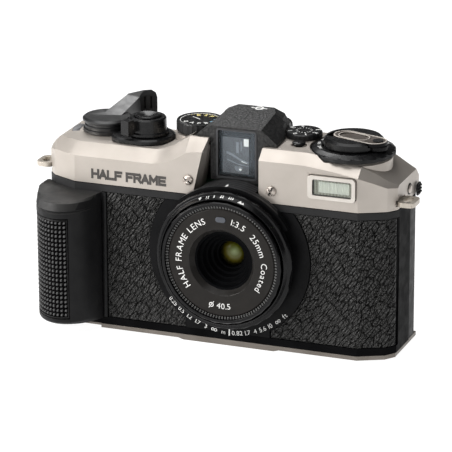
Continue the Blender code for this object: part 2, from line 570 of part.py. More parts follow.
# ---------------------------------------------------------------- back door
door_plan = [(-61.0, 10.7), (-61.4, 13.4), (-58.6, BACK), (60.0, BACK), (62.6, 14.6), (63.3, 12.0), (63.3, 6.4),
             (61.7, 6.4), (61.7, 11.8), (59.8, 14.4), (-58.2, 14.4), (-59.4, 12.6), (-59.4, 9.9)]
back_door = piece("back_door", prism(door_plan, 2.6, 52.5), "black", (HINGE[0], HINGE[1], 27.0))
rim_plan = [(-58.9, 6.4), (62.0, 6.4), (62.0, 14.8), (-58.9, 14.8)]
for low, high in ((2.6, 4.1), (51.0, 52.5)):
    add(back_door, prism(rim_plan, low, high))
add(back_door, rod(HINGE[0], HINGE[1], 2.15, 2.6, 52.5, 24))
cut(back_door, rod(HINGE[0], HINGE[1], 0.85, 0.0, 60.0, 24))
hinge_pin = piece("hinge_pin", rod(HINGE[0], HINGE[1], 0.79, 2.35, 52.75, 24), "chrome")
memo_holder = piece("memo_holder", prism(rounded(14.0, 42.0, 14.0, 44.0, 1.5), BACK + 0.15, BACK + 1.35, 'y'),
                    "black", (HINGE[0], HINGE[1], 27.0))
cut(memo_holder, box(16.0, 43.0, BACK + 0.6, BACK + 2, 18.0, 41.0))
rest_levels = [(0.15, (-55.5, -43.0, 22.0, 49.0, 3.0)), (1.6, (-55.0, -43.5, 22.5, 48.5, 2.8)),
               (2.8, (-53.6, -46.2, 26.0, 45.0, 2.4))]
thumb_rest = piece("thumb_rest", loft([[Vector((a, BACK + lift, b)) for a, b in rounded(*shape)]
                                       for lift, shape in rest_levels]), "rubber", (HINGE[0], HINGE[1], 27.0))
plate_outline = rounded(LENS_X - 16, LENS_X + 16, LENS_Z - 15.5, LENS_Z + 15.5, 1.5)
pressure_plate = piece("pressure_plate", prism(plate_outline, 11.3, 12.3, 'y'), "black", (LENS_X, 11.8, LENS_Z))
door_latch = piece("door_latch", prism(rounded(11.2, 15.2, 52.2, 56.6, 1.0, 3), 63.75, 64.3, 'x'), "black",
                   (64.2, 13.2, 54.4))
for i in range(3):
    add(door_latch, box(64.1, 64.8, 11.7, 14.7, 53.1 + 1.1 * i, 53.6 + 1.1 * i))

# ---------------------------------------------------------------- shutter button and power lever
def plate_ring(height, inset):
    """Many-sided outline of the plate under the shutter button."""
    outline = hull_of_circles([(-29.2, 0.4, 9.5 - inset), (-35.6, -3.6, 5.1 - inset)], 22)
    return [Vector((x, y, height)) for x, y in outline]


shutter_plate = piece("shutter_plate", loft([plate_ring(66.25, 0.0), plate_ring(67.5, 0.0), plate_ring(68.0, 0.6)]),
                      "black")
cut(shutter_plate, rod(SHUTTER[0], SHUTTER[1], 2.4, 60.0, 70.0, 24), rod(WIND[0], WIND[1], 9.6, 60.0, 70.0, 40))
button_profile = [(0, 73.9), (1.4, 74.0), (2.9, 74.5), (3.9, 74.7), (4.3, 74.4), (4.3, 71.6), (1.7, 71.4),
                  (1.7, 62.0), (0, 62.0)]
shutter_button = piece("shutter_button", lathe(button_profile, SHUTTER[0], SHUTTER[1], 32), "black",
                       (SHUTTER[0], SHUTTER[1], 72.0))
collar_profile = [(4.6, 69.8), (4.6, 73.7), (4.9, 74.05), (6.0, 74.05), (6.4, 73.6), (6.5, 69.5), (7.3, 69.1),
                  (7.3, 68.3), (2.3, 68.3), (2.3, 69.8)]
power_lever = piece("power_lever", lathe(collar_profile, SHUTTER[0], SHUTTER[1], 32, 'z', True), "black",
                    (SHUTTER[0], SHUTTER[1], 69.0))
for near, far, half, low, high in ((5.6, 9.2, 1.3, 70.2, 73.9), (8.4, 11.2, 1.8, 69.6, 74.7)):
    fin = box(SHUTTER[0] + near, SHUTTER[0] + far, SHUTTER[1] - half, SHUTTER[1] + half, low, high)
    add(power_lever, turned(fin, TAB_DIR, (SHUTTER[0], SHUTTER[1], 70)))

# ---------------------------------------------------------------- wind lever
def hull(points):
    """Smallest convex solid round some points."""
    bm = bmesh.new()
    for point in points:
        bm.verts.new(point)
    bmesh.ops.convex_hull(bm, input=bm.verts)
    return bm


hub_profile = [(0, 71.3), (7.8, 71.3), (8.6, 70.7), (8.6, 70.1), (7.5, 69.5), (7.5, 68.9), (7.9, 68.5), (7.9, 67.6),
               (8.4, 67.3), (8.4, 66.35), (2.2, 66.35), (2.2, 56.2), (0, 56.2)]
wind_lever = piece("wind_lever", lathe(hub_profile, WIND[0], WIND[1], 40), "black", (WIND[0], WIND[1], 68.0))
add(wind_lever, hull([(-48.6, 7.0, 69.6), (-48.6, 7.0, 71.1), (-41.6, 6.0, 69.6), (-41.6, 6.0, 71.1),
                      (-47.4, 12.6, 69.4), (-47.0, 12.8, 71.9), (-41.6, 11.6, 69.4), (-42.4, 11.6, 70.6),
                      (-45.2, 18.6, 69.4), (-44.3, 19.0, 75.2), (-39.2, 18.8, 69.4), (-39.6, 19.4, 74.9)]))
add(wind_lever, hull([(-45.0, 18.2, 69.0), (-44.4, 18.8, 75.3), (-45.3, 20.6, 69.2), (-44.6, 20.8, 74.9),
                      (-39.0, 20.2, 76.8), (-36.4, 21.4, 76.9), (-35.0, 22.0, 75.9), (-34.5, 22.2, 74.2),
                      (-34.3, 21.6, 68.9), (-35.2, 24.0, 69.1), (-35.4, 24.1, 74.0), (-36.0, 23.9, 75.4),
                      (-37.2, 23.4, 76.3), (-39.4, 22.4, 76.2), (-40.6, 17.6, 69.0), (-40.0, 18.6, 74.6)]))
for reach in (3.0, 5.2):
    slot = box(reach - 0.4, reach + 0.4, -1.4, 1.1, 70.3, 74.6)
    turned(slot, math.radians(33), (0, 0, 0))
    bmesh.ops.translate(slot, verts=slot.verts, vec=Vector((-40.6, 17.8, 0.0)))
    cut(wind_lever, slot)
add(wind_lever, lathe([(1.5, 58.0), (7.0, 58.0), (7.0, 59.8), (1.5, 59.8)], WIND[0], WIND[1], 36, 'z', True,
                      lambda i, r: r + (0.6 if r > 6.9 and i % 3 == 0 else 0.0)))
counter_dial = piece("frame_counter_dial", lathe([(6.0, 61.6), (9.3, 61.6), (9.3, 62.4), (6.0, 62.4)],
                                                 COUNTER[0], COUNTER[1], 40, 'z', True), "black",
                     (COUNTER[0], COUNTER[1], 62.0))
counter_window = piece("counter_window", prism(counter_sector(9.75, 12.15, 0.0), 64.9, 66.15), "glass")

# ---------------------------------------------------------------- dials
def ribbed(outer, depth):
    return lambda i, r: r - (depth if r > outer - 0.05 and i % 2 else 0.0)


mode_profile = [(0, 73.6), (7.0, 73.6), (7.3, 73.9), (7.9, 73.9), (8.2, 73.4), (8.2, 70.5), (7.9, 70.0), (0, 70.0)]
mode_dial = piece("mode_dial", lathe(mode_profile, MODE[0], MODE[1], 56, 'z', False, ribbed(8.2, 0.18)), "black",
                  (MODE[0], MODE[1], 72.0))
exposure_profile = [(0, 72.8), (5.8, 72.8), (6.3, 72.4), (6.3, 71.0), (0, 71.0)]
exposure_dial = piece("exposure_dial", lathe(exposure_profile, EXPOSURE[0], EXPOSURE[1], 50, 'z', False,
                                             ribbed(6.3, 0.18)), "black", (EXPOSURE[0], EXPOSURE[1], 72.0))
lock_profile = [(0, 71.9), (1.7, 71.9), (2.3, 71.6), (2.3, 70.9), (1.2, 70.9), (1.2, 67.0), (0, 67.0)]
lock_button = piece("dial_lock_button", lathe(lock_profile, LOCK[0], LOCK[1], 28), "black",
                    (LOCK[0], LOCK[1], 71.0))
cut(top_cover, rod(LOCK[0], LOCK[1], 1.5, 60.0, 75.0, 24), rod(LOCK[0], LOCK[1], 2.7, 69.9, 75.0, 28))


def scalloped(index, radius):
    """Shallow finger hollows round the film speed ring."""
    return radius - (0.35 if radius > 14.2 and index % 3 == 0 else 0.0)


iso_profile = [(10.5, 71.4), (12.2, 71.4), (13.9, 70.6), (14.3, 70.2), (14.3, 69.0), (2.5, 69.0), (2.5, 70.4),
               (10.5, 70.4)]
iso_ring = piece("iso_ring", lathe(iso_profile, REWIND[0], REWIND[1], 60, 'z', True, scalloped), "black",
                 (REWIND[0], REWIND[1], 70.0))
crank_x = math.cos(CRANK_DIR)
crank_y = math.sin(CRANK_DIR)
HANDLE = (REWIND[0] + 9.9 * crank_x, REWIND[1] + 9.9 * crank_y)


def crank_box(near, far, half, low, high):
    """Box laid along the crank, measured from the rewind axis."""
    bar = box(REWIND[0] + near, REWIND[0] + far, REWIND[1] - half, REWIND[1] + half, low, high)
    return turned(bar, CRANK_DIR, (REWIND[0], REWIND[1], 74))


def crank_bar(low, high, near, far, half):
    """Round-ended bar laid along the crank."""
    outline = rounded(REWIND[0] + near, REWIND[0] + far, REWIND[1] - half, REWIND[1] + half, half * 0.95, 6)
    return turned(prism(outline, low, high), CRANK_DIR, (REWIND[0], REWIND[1], 74))


knob_profile = [(0, 74.5), (9.3, 74.5), (10.1, 73.8), (10.1, 71.9), (9.5, 70.7), (2.1, 70.7), (2.1, 54.0), (0, 54.0)]
rewind_knob = piece("rewind_knob", lathe(knob_profile, REWIND[0], REWIND[1], 56), "black",
                    (REWIND[0], REWIND[1], 72.0))
cut(rewind_knob, rod(HANDLE[0], HANDLE[1], 3.7, 71.5, 80.0, 32))
cut(rewind_knob, crank_bar(73.0, 80.0, -7.9, 16.0, 4.6))
cut(rewind_knob, crank_box(-8.1, -3.4, 4.45, 71.55, 79.0))
add(rewind_knob, rod(REWIND[0], REWIND[1], 3.3, 44.5, 54.6, 24))
cut(rewind_knob, box(REWIND[0] - 4, REWIND[0] + 4, REWIND[1] - 1.1, REWIND[1] + 1.1, 40.0, 48.0))
PIVOT = (REWIND[0] - 5.5 * crank_x, REWIND[1] - 5.5 * crank_y, 73.95)
rewind_crank = piece("rewind_crank", crank_bar(73.35, 74.5, -7.4, 12.8, 4.2), "chrome", PIVOT)
cut(rewind_crank, crank_bar(74.2, 80.0, -5.6, 6.0, 3.1))
cut(rewind_crank, rod(HANDLE[0], HANDLE[1], 1.25, 70.0, 80.0, 24))
handle_profile = [(0, 74.9), (1.8, 74.9), (1.8, 74.7), (1.0, 74.7), (1.0, 73.15), (3.3, 73.15), (3.4, 72.9),
                  (3.4, 71.95), (3.1, 71.75), (0, 71.75)]
crank_handle = piece("crank_handle", lathe(handle_profile, HANDLE[0], HANDLE[1], 30, 'z', False, ribbed(3.4, 0.15)),
                     "black", (HANDLE[0], HANDLE[1], 74.0))
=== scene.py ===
"""Looks of the half frame camera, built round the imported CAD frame. Lengths in metres, +Z up, lens to -Y."""
import math
import bpy
import bmesh
import numpy as np
from mathutils import Matrix, Vector


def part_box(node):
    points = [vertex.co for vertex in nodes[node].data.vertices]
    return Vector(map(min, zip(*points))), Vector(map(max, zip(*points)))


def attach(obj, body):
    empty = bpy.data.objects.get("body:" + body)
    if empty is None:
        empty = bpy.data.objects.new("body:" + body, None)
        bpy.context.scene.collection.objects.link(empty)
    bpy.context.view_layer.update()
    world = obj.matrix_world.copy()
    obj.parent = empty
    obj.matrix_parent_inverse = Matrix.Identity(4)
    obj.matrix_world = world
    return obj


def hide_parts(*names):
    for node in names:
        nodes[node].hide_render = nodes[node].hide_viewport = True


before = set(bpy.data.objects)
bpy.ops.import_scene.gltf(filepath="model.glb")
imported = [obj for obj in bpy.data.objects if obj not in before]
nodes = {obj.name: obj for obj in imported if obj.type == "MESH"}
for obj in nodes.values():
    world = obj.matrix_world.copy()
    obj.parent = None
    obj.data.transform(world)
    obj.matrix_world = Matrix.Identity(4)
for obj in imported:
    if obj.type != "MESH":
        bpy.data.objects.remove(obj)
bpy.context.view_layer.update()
MM = 0.001
V = Vector


def mm(*co):
    return Vector(co) * MM


def centre(node):
    low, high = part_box(node)
    return (low + high) / 2


def top_of(node):
    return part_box(node)[1].z


lens = centre("filter_ring")
LX, LZ = lens.x, lens.z

# ------------------------------------------------------------------ materials


def shader_of(mat):
    return mat.node_tree.nodes["Principled BSDF"]


def new_mat(name, colour, rough, metal=0.0, coat=0.0, coat_rough=0.1, spec=0.5):
    """Material with one Principled shader."""
    mat = bpy.data.materials.new(name)
    mat.use_nodes = True
    values = {"Base Color": (*colour, 1.0), "Roughness": rough, "Metallic": metal, "Coat Weight": coat,
              "Coat Roughness": coat_rough, "Specular IOR Level": spec}
    for socket, value in values.items():
        shader_of(mat).inputs[socket].default_value = value
    return mat


def noise(mat, scale, detail=2.0, stretch=(1, 1, 1)):
    """Noise that is fixed to the object; a larger scale is finer."""
    tree = mat.node_tree
    coord = tree.nodes.new("ShaderNodeTexCoord")
    mapping = tree.nodes.new("ShaderNodeMapping")
    mapping.inputs["Scale"].default_value = stretch
    tex = tree.nodes.new("ShaderNodeTexNoise")
    tex.inputs["Scale"].default_value = scale
    tex.inputs["Detail"].default_value = detail
    tree.links.new(coord.outputs["Object"], mapping.inputs["Vector"])
    tree.links.new(mapping.outputs["Vector"], tex.inputs["Vector"])
    return tex.outputs["Fac"]


def ramp(mat, value, stops):
    """Colour looked up from a value; each stop is a place from 0 to 1 and a colour."""
    node = mat.node_tree.nodes.new("ShaderNodeValToRGB")
    mat.node_tree.links.new(value, node.inputs["Fac"])
    elements = node.color_ramp.elements
    elements[0].position, elements[0].color = stops[0][0], (*stops[0][1], 1)
    elements[1].position, elements[1].color = stops[-1][0], (*stops[-1][1], 1)
    for pos, col in stops[1:-1]:
        extra = elements.new(pos)
        extra.color = (*col, 1)
    return node.outputs["Color"]


def tint(mat, value, low, high, a=0.35, b=0.65):
    mat.node_tree.links.new(ramp(mat, value, [(a, low), (b, high)]), shader_of(mat).inputs["Base Color"])


def rough_map(mat, value, low, high, a=0.35, b=0.65):
    out = ramp(mat, value, [(a, (low,) * 3), (b, (high,) * 3)])
    mat.node_tree.links.new(out, shader_of(mat).inputs["Roughness"])


def bump(mat, value, strength, distance):
    node = mat.node_tree.nodes.new("ShaderNodeBump")
    node.inputs["Strength"].default_value = strength
    node.inputs["Distance"].default_value = distance
    mat.node_tree.links.new(value, node.inputs["Height"])
    mat.node_tree.links.new(node.outputs["Normal"], shader_of(mat).inputs["Normal"])


def finish(name, low, high, rough, mottle, grain, metal=0.0, spec=0.5):
    """Painted, moulded or plated surface.

    Its colour wanders from low to high and its roughness between the two in rough; mottle is the scale of
    both, and grain is the scale, strength and depth of a fine bump.
    """
    middle = [(a + b) / 2 for a, b in zip(low, high)]
    mat = new_mat(name, middle, sum(rough) / 2, metal, spec=spec)
    tint(mat, noise(mat, mottle, 3.0), low, high)
    rough_map(mat, noise(mat, mottle * 2.3), *rough)
    bump(mat, noise(mat, grain[0]), grain[1], grain[2])
    return mat


silver = finish("silver_paint", (0.455, 0.414, 0.372), (0.495, 0.452, 0.409),
                (0.36, 0.44), 90, (5200, 0.10, 0.02 * MM), metal=0.6, spec=0.4)
black_paint = finish("black_paint", (0.0030, 0.0030, 0.0033), (0.0055, 0.0055, 0.006),
                     (0.42, 0.55), 120, (3600, 0.35, 0.04 * MM), spec=0.02)
panel_black = finish("panel_black", (0.0030, 0.0030, 0.0033), (0.0055, 0.0055, 0.006),
                     (0.34, 0.44), 120, (3600, 0.35, 0.04 * MM), spec=0.09)
black_plastic = finish("black_plastic", (0.006, 0.006, 0.0065), (0.0095, 0.0095, 0.010),
                       (0.44, 0.56), 150, (2600, 0.4, 0.05 * MM), spec=0.18)
lens_black = finish("lens_black", (0.0030, 0.0030, 0.0034), (0.0055, 0.0055, 0.006),
                    (0.24, 0.34), 200, (5200, 0.12, 0.02 * MM), spec=0.32)
ring_black = finish("ring_black", (0.0020, 0.0020, 0.0023), (0.0035, 0.0035, 0.004),
                    (0.20, 0.28), 200, (5200, 0.10, 0.01 * MM), spec=0.22)
lens_well = finish("lens_well", (0.0022, 0.0024, 0.0028), (0.0034, 0.0036, 0.0042),
                   (0.5, 0.6), 200, (5200, 0.1, 0.01 * MM), spec=0.03)
soft_black = finish("soft_black", (0.004, 0.004, 0.0045), (0.007, 0.007, 0.0075),
                    (0.46, 0.60), 160, (3600, 0.3, 0.04 * MM), spec=0.25)
rubber = finish("grip_rubber", (0.005, 0.005, 0.0055), (0.008, 0.008, 0.0085),
                (0.46, 0.60), 160, (3600, 0.3, 0.04 * MM), spec=0.3)
leather = finish("leather", (0.0025, 0.0025, 0.003), (0.005, 0.005, 0.0055),
                 (0.34, 0.46), 300, (5200, 0.20, 0.03 * MM), spec=0.45)


def painted_relief_shade(mat, low, high, shine, depth=0.0):
    """Painted shade: darker and duller in the hollows than on the crests; the shade is stored on the mesh."""
    tree = mat.node_tree
    shader = shader_of(mat)
    level = tree.nodes.new("ShaderNodeAttribute")
    level.attribute_name = "painted_shade"
    mix = tree.nodes.new("ShaderNodeMath")
    mix.operation = 'MULTIPLY_ADD'
    mix.inputs[1].default_value = 0.25
    tree.links.new(noise(mat, 700, 3.0), mix.inputs[0])
    tree.links.new(level.outputs["Fac"], mix.inputs[2])
    tree.links.new(ramp(mat, mix.outputs[0], [(0.2, low), (1.0, high)]), shader.inputs["Base Color"])
    tree.links.new(ramp(mat, mix.outputs[0], [(0.15, (0.02,) * 3), (0.95, (shine,) * 3)]),
                   shader.inputs["Specular IOR Level"])
    if depth:
        fine = shader.inputs["Normal"].links[0].from_socket
        swell = tree.nodes.new("ShaderNodeBump")
        swell.inputs["Distance"].default_value = depth
        tree.links.new(level.outputs["Fac"], swell.inputs["Height"])
        tree.links.new(fine, swell.inputs["Normal"])
        tree.links.new(swell.outputs["Normal"], shader.inputs["Normal"])


# Painted shade on the leather and the grip pad: dark in the creases and grooves, light on the crests and
# pyramid tops.
painted_relief_shade(leather, (0.0026, 0.0026, 0.0026), (0.034, 0.0335, 0.0325), 0.44, 0.55 * MM)
painted_relief_shade(rubber, (0.0014, 0.0014, 0.0015), (0.060, 0.060, 0.0605), 0.8)
ring_brown = finish("name_ring", (0.0090, 0.0075, 0.0062), (0.0125, 0.0105, 0.0088),
                    (0.40, 0.50), 260, (6000, 0.15, 0.02 * MM), spec=0.22)
rim_grey = finish("rim_grey", (0.030, 0.031, 0.034), (0.05, 0.051, 0.055),
                  (0.3, 0.42), 400, (5200, 0.1, 0.02 * MM))
wrinkle = finish("wrinkle_paint", (0.0015, 0.0015, 0.002), (0.028, 0.0275, 0.027),
                 (0.34, 0.60), 1100, (1100, 1.0, 0.30 * MM), spec=0.4)
chamfer_grey = finish("chamfer", (0.018, 0.0165, 0.015), (0.026, 0.024, 0.022),
                      (0.3, 0.42), 400, (5200, 0.2, 0.02 * MM), metal=0.2)
chrome = finish("chrome", (0.70, 0.69, 0.67), (0.80, 0.79, 0.77),
                (0.18, 0.28), 300, (5200, 0.015, 0.02 * MM), metal=1.0)
satin = finish("satin_metal", (0.50, 0.445, 0.40), (0.59, 0.53, 0.475),
               (0.30, 0.40), 260, (5200, 0.02, 0.02 * MM), metal=0.6)
dark_chrome = finish("dark_chrome", (0.11, 0.092, 0.080), (0.16, 0.138, 0.122),
                     (0.34, 0.42), 200, (4200, 0.01, 0.01 * MM), metal=0.6)
# Painted shade: the bottom cover gets a darker copy of the silver, for the shade it sits in under the camera.
base_silver_painted_shade = finish("base_silver_painted_shade", (0.17, 0.150, 0.130), (0.215, 0.192, 0.170),
                     (0.34, 0.46), 90, (5200, 0.10, 0.02 * MM), metal=0.7)
lever_black = finish("lever_black", (0.006, 0.006, 0.0065), (0.010, 0.010, 0.0105),
                     (0.30, 0.40), 200, (5200, 0.12, 0.02 * MM), spec=0.7)
lug_metal = finish("lug_metal", (0.44, 0.395, 0.335), (0.54, 0.49, 0.425),
                   (0.26, 0.34), 200, (5200, 0.015, 0.02 * MM), metal=0.55)
# The flash bezel's silver is brighter than the top cover's: partly painted highlight on its edges.
bezel_silver_and_highlight = finish("bezel_silver_and_highlight", (0.60, 0.56, 0.51), (0.68, 0.64, 0.59),
                      (0.30, 0.38), 120, (5200, 0.04, 0.01 * MM), metal=0.8)
white_ink = finish("white_ink", (0.80, 0.80, 0.78), (0.88, 0.88, 0.86),
                   (0.45, 0.6), 600, (6000, 0.1, 0.01 * MM))
dark_ink = finish("dark_ink", (0.040, 0.036, 0.032), (0.06, 0.054, 0.05),
                  (0.4, 0.55), 600, (6000, 0.1, 0.01 * MM))
yellow_ink = finish("yellow_ink", (0.70, 0.60, 0.20), (0.80, 0.68, 0.26),
                    (0.45, 0.6), 600, (6000, 0.1, 0.01 * MM))
blue_ink = finish("blue_ink", (0.22, 0.45, 0.60), (0.30, 0.52, 0.68),
                  (0.45, 0.6), 600, (6000, 0.1, 0.01 * MM))
board = finish("board", (0.02, 0.13, 0.05), (0.04, 0.18, 0.08), (0.3, 0.5), 500, (2600, 0.2, 0.04 * MM))
cell = finish("cell", (0.50, 0.32, 0.12), (0.64, 0.42, 0.17),
              (0.3, 0.4), 200, (2600, 0.1, 0.04 * MM), metal=0.6)


def glass_mat(name, colour, rough=0.03, film=(0.25, 0.4, 0.35), weight=0.9, coat=1.0, spec=0.5):
    """Coated glass: clear, with a coloured film on glancing light."""
    mat = new_mat(name, colour, rough, 0.0, coat, 0.02, spec)
    shader = shader_of(mat)
    shader.inputs["Transmission Weight"].default_value = weight
    shader.inputs["IOR"].default_value = 1.5
    shader.inputs["Specular Tint"].default_value = (*film, 1.0)
    rough_map(mat, noise(mat, 700), rough, rough + 0.02)
    return mat


window_glass = glass_mat("window_glass", (0.84, 0.88, 0.92), 0.03, (0.1, 0.16, 0.2), 0.97, 0.04, 0.10)
counter_glass = glass_mat("counter_glass", (0.30, 0.30, 0.31), 0.22, (0.9, 0.95, 1.0), 0.25, 0.2, 0.3)
flash_glass = glass_mat("flash_glass", (0.90, 0.95, 0.86), 0.16, (0.9, 1.0, 0.92), 0.45)
clear_glass = glass_mat("clear_glass", (0.9, 0.95, 0.93), 0.03, (0.8, 0.9, 1.0))
sensor_glass = new_mat("sensor_glass", (0.06, 0.066, 0.08), 0.25, 0.1, 0.25, 0.1, 0.4)
rough_map(sensor_glass, noise(sensor_glass, 900), 0.16, 0.26)


def olive_glass_painted_glint(name, glint_x, glint_z, reach):
    """Lens glass painted as its coating's reflection: dark olive that brightens towards a painted glint at a
    spot; reach is how far from it the painted light goes.
    """
    mat = new_mat(name, (0.03, 0.04, 0.01), 0.3, 0.0, 0.25, 0.22, 0.3)
    tree = mat.node_tree
    coord = tree.nodes.new("ShaderNodeTexCoord")
    spread = tree.nodes.new("ShaderNodeMapping")
    spread.inputs["Location"].default_value = (-glint_x / reach, 0, -glint_z / reach)
    spread.inputs["Scale"].default_value = (1 / reach, 0, 1 / reach)
    ball = tree.nodes.new("ShaderNodeTexGradient")
    ball.gradient_type = 'SPHERICAL'
    tree.links.new(coord.outputs["Object"], spread.inputs["Vector"])
    tree.links.new(spread.outputs["Vector"], ball.inputs["Vector"])
    shade = ramp(mat, ball.outputs["Fac"], [(0.0, (0.012, 0.011, 0.002)), (0.3, (0.085, 0.070, 0.002)),
                                            (0.62, (0.105, 0.118, 0.008)), (1.0, (0.30, 0.37, 0.18))])
    tree.links.new(shade, shader_of(mat).inputs["Base Color"])
    rough_map(mat, noise(mat, 900), 0.28, 0.34)
    return mat


lens_glass = olive_glass_painted_glint("lens_glass", LX + 1.1 * MM, LZ + 1.2 * MM, 1 / 210)

# What each CAD piece is finished in.
LOOKS = (
    (silver, ("top_cover",)),
    (base_silver_painted_shade, ("bottom_cover",)),
    (black_paint, ("body_shell",)),
    (wrinkle, ("viewfinder_hump",)),
    (panel_black, ("front_panel",)),
    (black_plastic, ("grip_shell", "grip_trim", "finder_tube", "back_door", "memo_holder", "crank_handle",
                     "door_latch", "film_chassis", "takeup_spool", "film_sprocket", "frame_counter_dial",
                     "battery_cover", "rewind_release_button")),
    (soft_black, ("eyepiece_frame", "thumb_rest")),
    (ring_black, ("focus_ring", "filter_ring")),
    (lens_well, ("lens_barrel", "shutter_unit")),
    (ring_brown, ("lens_cone",)),
    (lens_black, ("power_lever", "mode_dial", "exposure_dial", "iso_ring", "rewind_knob", "shutter_plate",
                  "shutter_button", "dial_lock_button", "pressure_plate")),
    (lever_black, ("wind_lever",)),
    (dark_chrome, ("rewind_crank",)),
    (bezel_silver_and_highlight, ("flash_bezel",)),
    (chrome, ("flash_reflector", "base_screw_left", "base_screw_right", "tripod_socket", "hinge_pin",
              "flash_capacitor")),
    (satin, ("front_screw_left", "front_screw_right")),
    (lug_metal, ("strap_lug_left", "strap_lug_right")),
    (board, ("circuit_board",)),
    (cell, ("battery",)),
    (window_glass, ("finder_front_glass",)),
    (clear_glass, ("eyepiece_lens", "rear_lens")),
    (flash_glass, ("flash_window",)),
    (lens_glass, ("front_lens",)),
    (sensor_glass, ("sensor_window",)),
    (counter_glass, ("counter_window",)),
)

# Width of the rounded edges in millimetres, and the least corner in degrees that is rounded where that isn't
# the usual one.
EDGE = {"top_cover": 0.3, "bottom_cover": 0.25, "body_shell": 0.25, "viewfinder_hump": 0.5,
        "grip_shell": 0.5, "front_panel": 0.15, "back_door": 0.5, "eyepiece_frame": 0.4,
        "thumb_rest": 0.7, "wind_lever": 0.35, "power_lever": 0.25, "shutter_button": 0.2,
        "mode_dial": 0.12, "exposure_dial": 0.12, "iso_ring": 0.12, "rewind_knob": 0.2,
        "rewind_crank": 0.3, "crank_handle": 0.2, "flash_bezel": 0.3, "strap_lug_left": 0.3,
        "strap_lug_right": 0.3, "focus_ring": 0.15, "filter_ring": 0.1, "lens_cone": 0.08,
        "memo_holder": 0.25, "door_latch": 0.15, "shutter_plate": 0.2}
SHARP = {"top_cover": 16.0, "viewfinder_hump": 9.0, "shutter_plate": 9.0, "grip_shell": 22.0}
USUAL_CORNER = 24.0


def soften(name, obj):
    """Round the edges of one CAD piece and smooth its shading."""
    weld = obj.modifiers.new("weld", 'WELD')
    weld.merge_threshold = 0.004 * MM
    if name in EDGE:
        bevel = obj.modifiers.new("bevel", 'BEVEL')
        bevel.width = EDGE[name] * MM
        bevel.segments = 3
        bevel.limit_method = 'ANGLE'
        bevel.angle_limit = math.radians(SHARP.get(name, USUAL_CORNER))
        bevel.harden_normals = name in SHARP
        bevel.miter_outer = 'MITER_ARC'
    for poly in obj.data.polygons:
        poly.use_smooth = True
    normals = obj.modifiers.new("normals", 'WEIGHTED_NORMAL')
    normals.keep_sharp = True
    normals.weight = 60


for mat, names in LOOKS:
    for name in names:
        nodes[name].data.materials.clear()
        nodes[name].data.materials.append(mat)
for name, obj in nodes.items():
    soften(name, obj)


def repaint(name, mat, test):
    """Another material for the faces that pass the test, which gets a face's centre in mm and its normal."""
    obj = nodes[name]
    obj.data.materials.append(mat)
    turned = obj.matrix_world.to_3x3()
    for poly in obj.data.polygons:
        if test((obj.matrix_world @ poly.center) / MM, (turned @ poly.normal).normalized()):
            poly.material_index = len(obj.data.materials) - 1


# The hub of the wind lever is duller than its arm, and the crank is black at its sides.
hub_black_and_slot_shade = finish("hub_black_and_slot_shade", (0.0035, 0.0035, 0.004), (0.006, 0.006, 0.0065),
                   (0.36, 0.46), 200, (5200, 0.12, 0.02 * MM), spec=0.10)
axle = nodes["wind_lever"].matrix_world.translation / MM
repaint("wind_lever", hub_black_and_slot_shade, lambda p, n: math.hypot(p.x - axle.x, p.y - axle.y) < 9.9)
repaint("rewind_crank", hub_black_and_slot_shade, lambda p, n: abs(n.z) < 0.5)

# The name ring is brown in front only; its chamfer is grey and the funnel behind it is black.
LENS_X, LENS_Z = LX / MM, LZ / MM
repaint("lens_cone", chamfer_grey, lambda p, n: 10.2 <= math.hypot(p.x - LENS_X, p.z - LENS_Z) < 11.69)
repaint("lens_cone", lens_well, lambda p, n: math.hypot(p.x - LENS_X, p.z - LENS_Z) < 10.2 or p.y > -20.0)

# Painted light: lighter copies of the black on the front of the strip under the top cover, on top of the grip
# and on the sides of the dials, where light falls on them.
painted_light_black = finish("painted_light_black", (0.016, 0.016, 0.0165), (0.022, 0.022, 0.0225),
                     (0.46, 0.56), 120, (3600, 0.35, 0.04 * MM), spec=0.2)
repaint("body_shell", painted_light_black, lambda p, n: n.y < -0.3 and p.z > 20)
for dial in ("iso_ring", "mode_dial", "exposure_dial"):
    repaint(dial, painted_light_black, lambda p, n: abs(n.z) < 0.5)
grip_top_painted_light = finish("grip_top_painted_light", (0.017, 0.0168, 0.0165), (0.024, 0.0237, 0.0233),
                    (0.48, 0.58), 150, (2600, 0.4, 0.05 * MM), spec=0.26)
repaint("grip_shell", grip_top_painted_light, lambda p, n: n.z > 0.35)

# Ribbed brow over the lens: its ribs are drawn only in colour, as stripes of painted highlight and painted
# shade on its upward faces.
brow_painted_ridges = finish("painted_ridge_stripes", (0.006, 0.006, 0.0065), (0.009, 0.009, 0.0095),
                (0.40, 0.50), 120, (3600, 0.35, 0.04 * MM), spec=0.25)
ridge_light_stripes = brow_painted_ridges.node_tree.nodes.new("ShaderNodeTexWave")
ridge_light_stripes.bands_direction = 'Y'
ridge_light_stripes.inputs["Scale"].default_value = 190
ridge_place = brow_painted_ridges.node_tree.nodes.new("ShaderNodeTexCoord")
brow_painted_ridges.node_tree.links.new(ridge_place.outputs["Object"], ridge_light_stripes.inputs["Vector"])
tint(brow_painted_ridges, ridge_light_stripes.outputs["Fac"], (0.003, 0.003, 0.0032), (0.045, 0.045, 0.046), 0.3, 0.8)
repaint("front_panel", brow_painted_ridges, lambda p, n: n.z > 0.3 and p.z > LENS_Z + 18)

# Painted shade in the slots of the two front screws, each turned its own way: the faces in each slot get the
# dark hub black.
SLOT_HALF_WIDTH, SLOT_HALF_LENGTH = 0.3, 1.6
for screw, lean in (("front_screw_left", -33), ("front_screw_right", 64)):
    head = centre(screw) / MM
    along = V((math.cos(math.radians(lean)), 0, math.sin(math.radians(lean))))
    repaint(screw, hub_black_and_slot_shade, lambda p, n: abs((p - head).cross(along).y) < SLOT_HALF_WIDTH
            and abs((p - head).dot(along)) < SLOT_HALF_LENGTH)

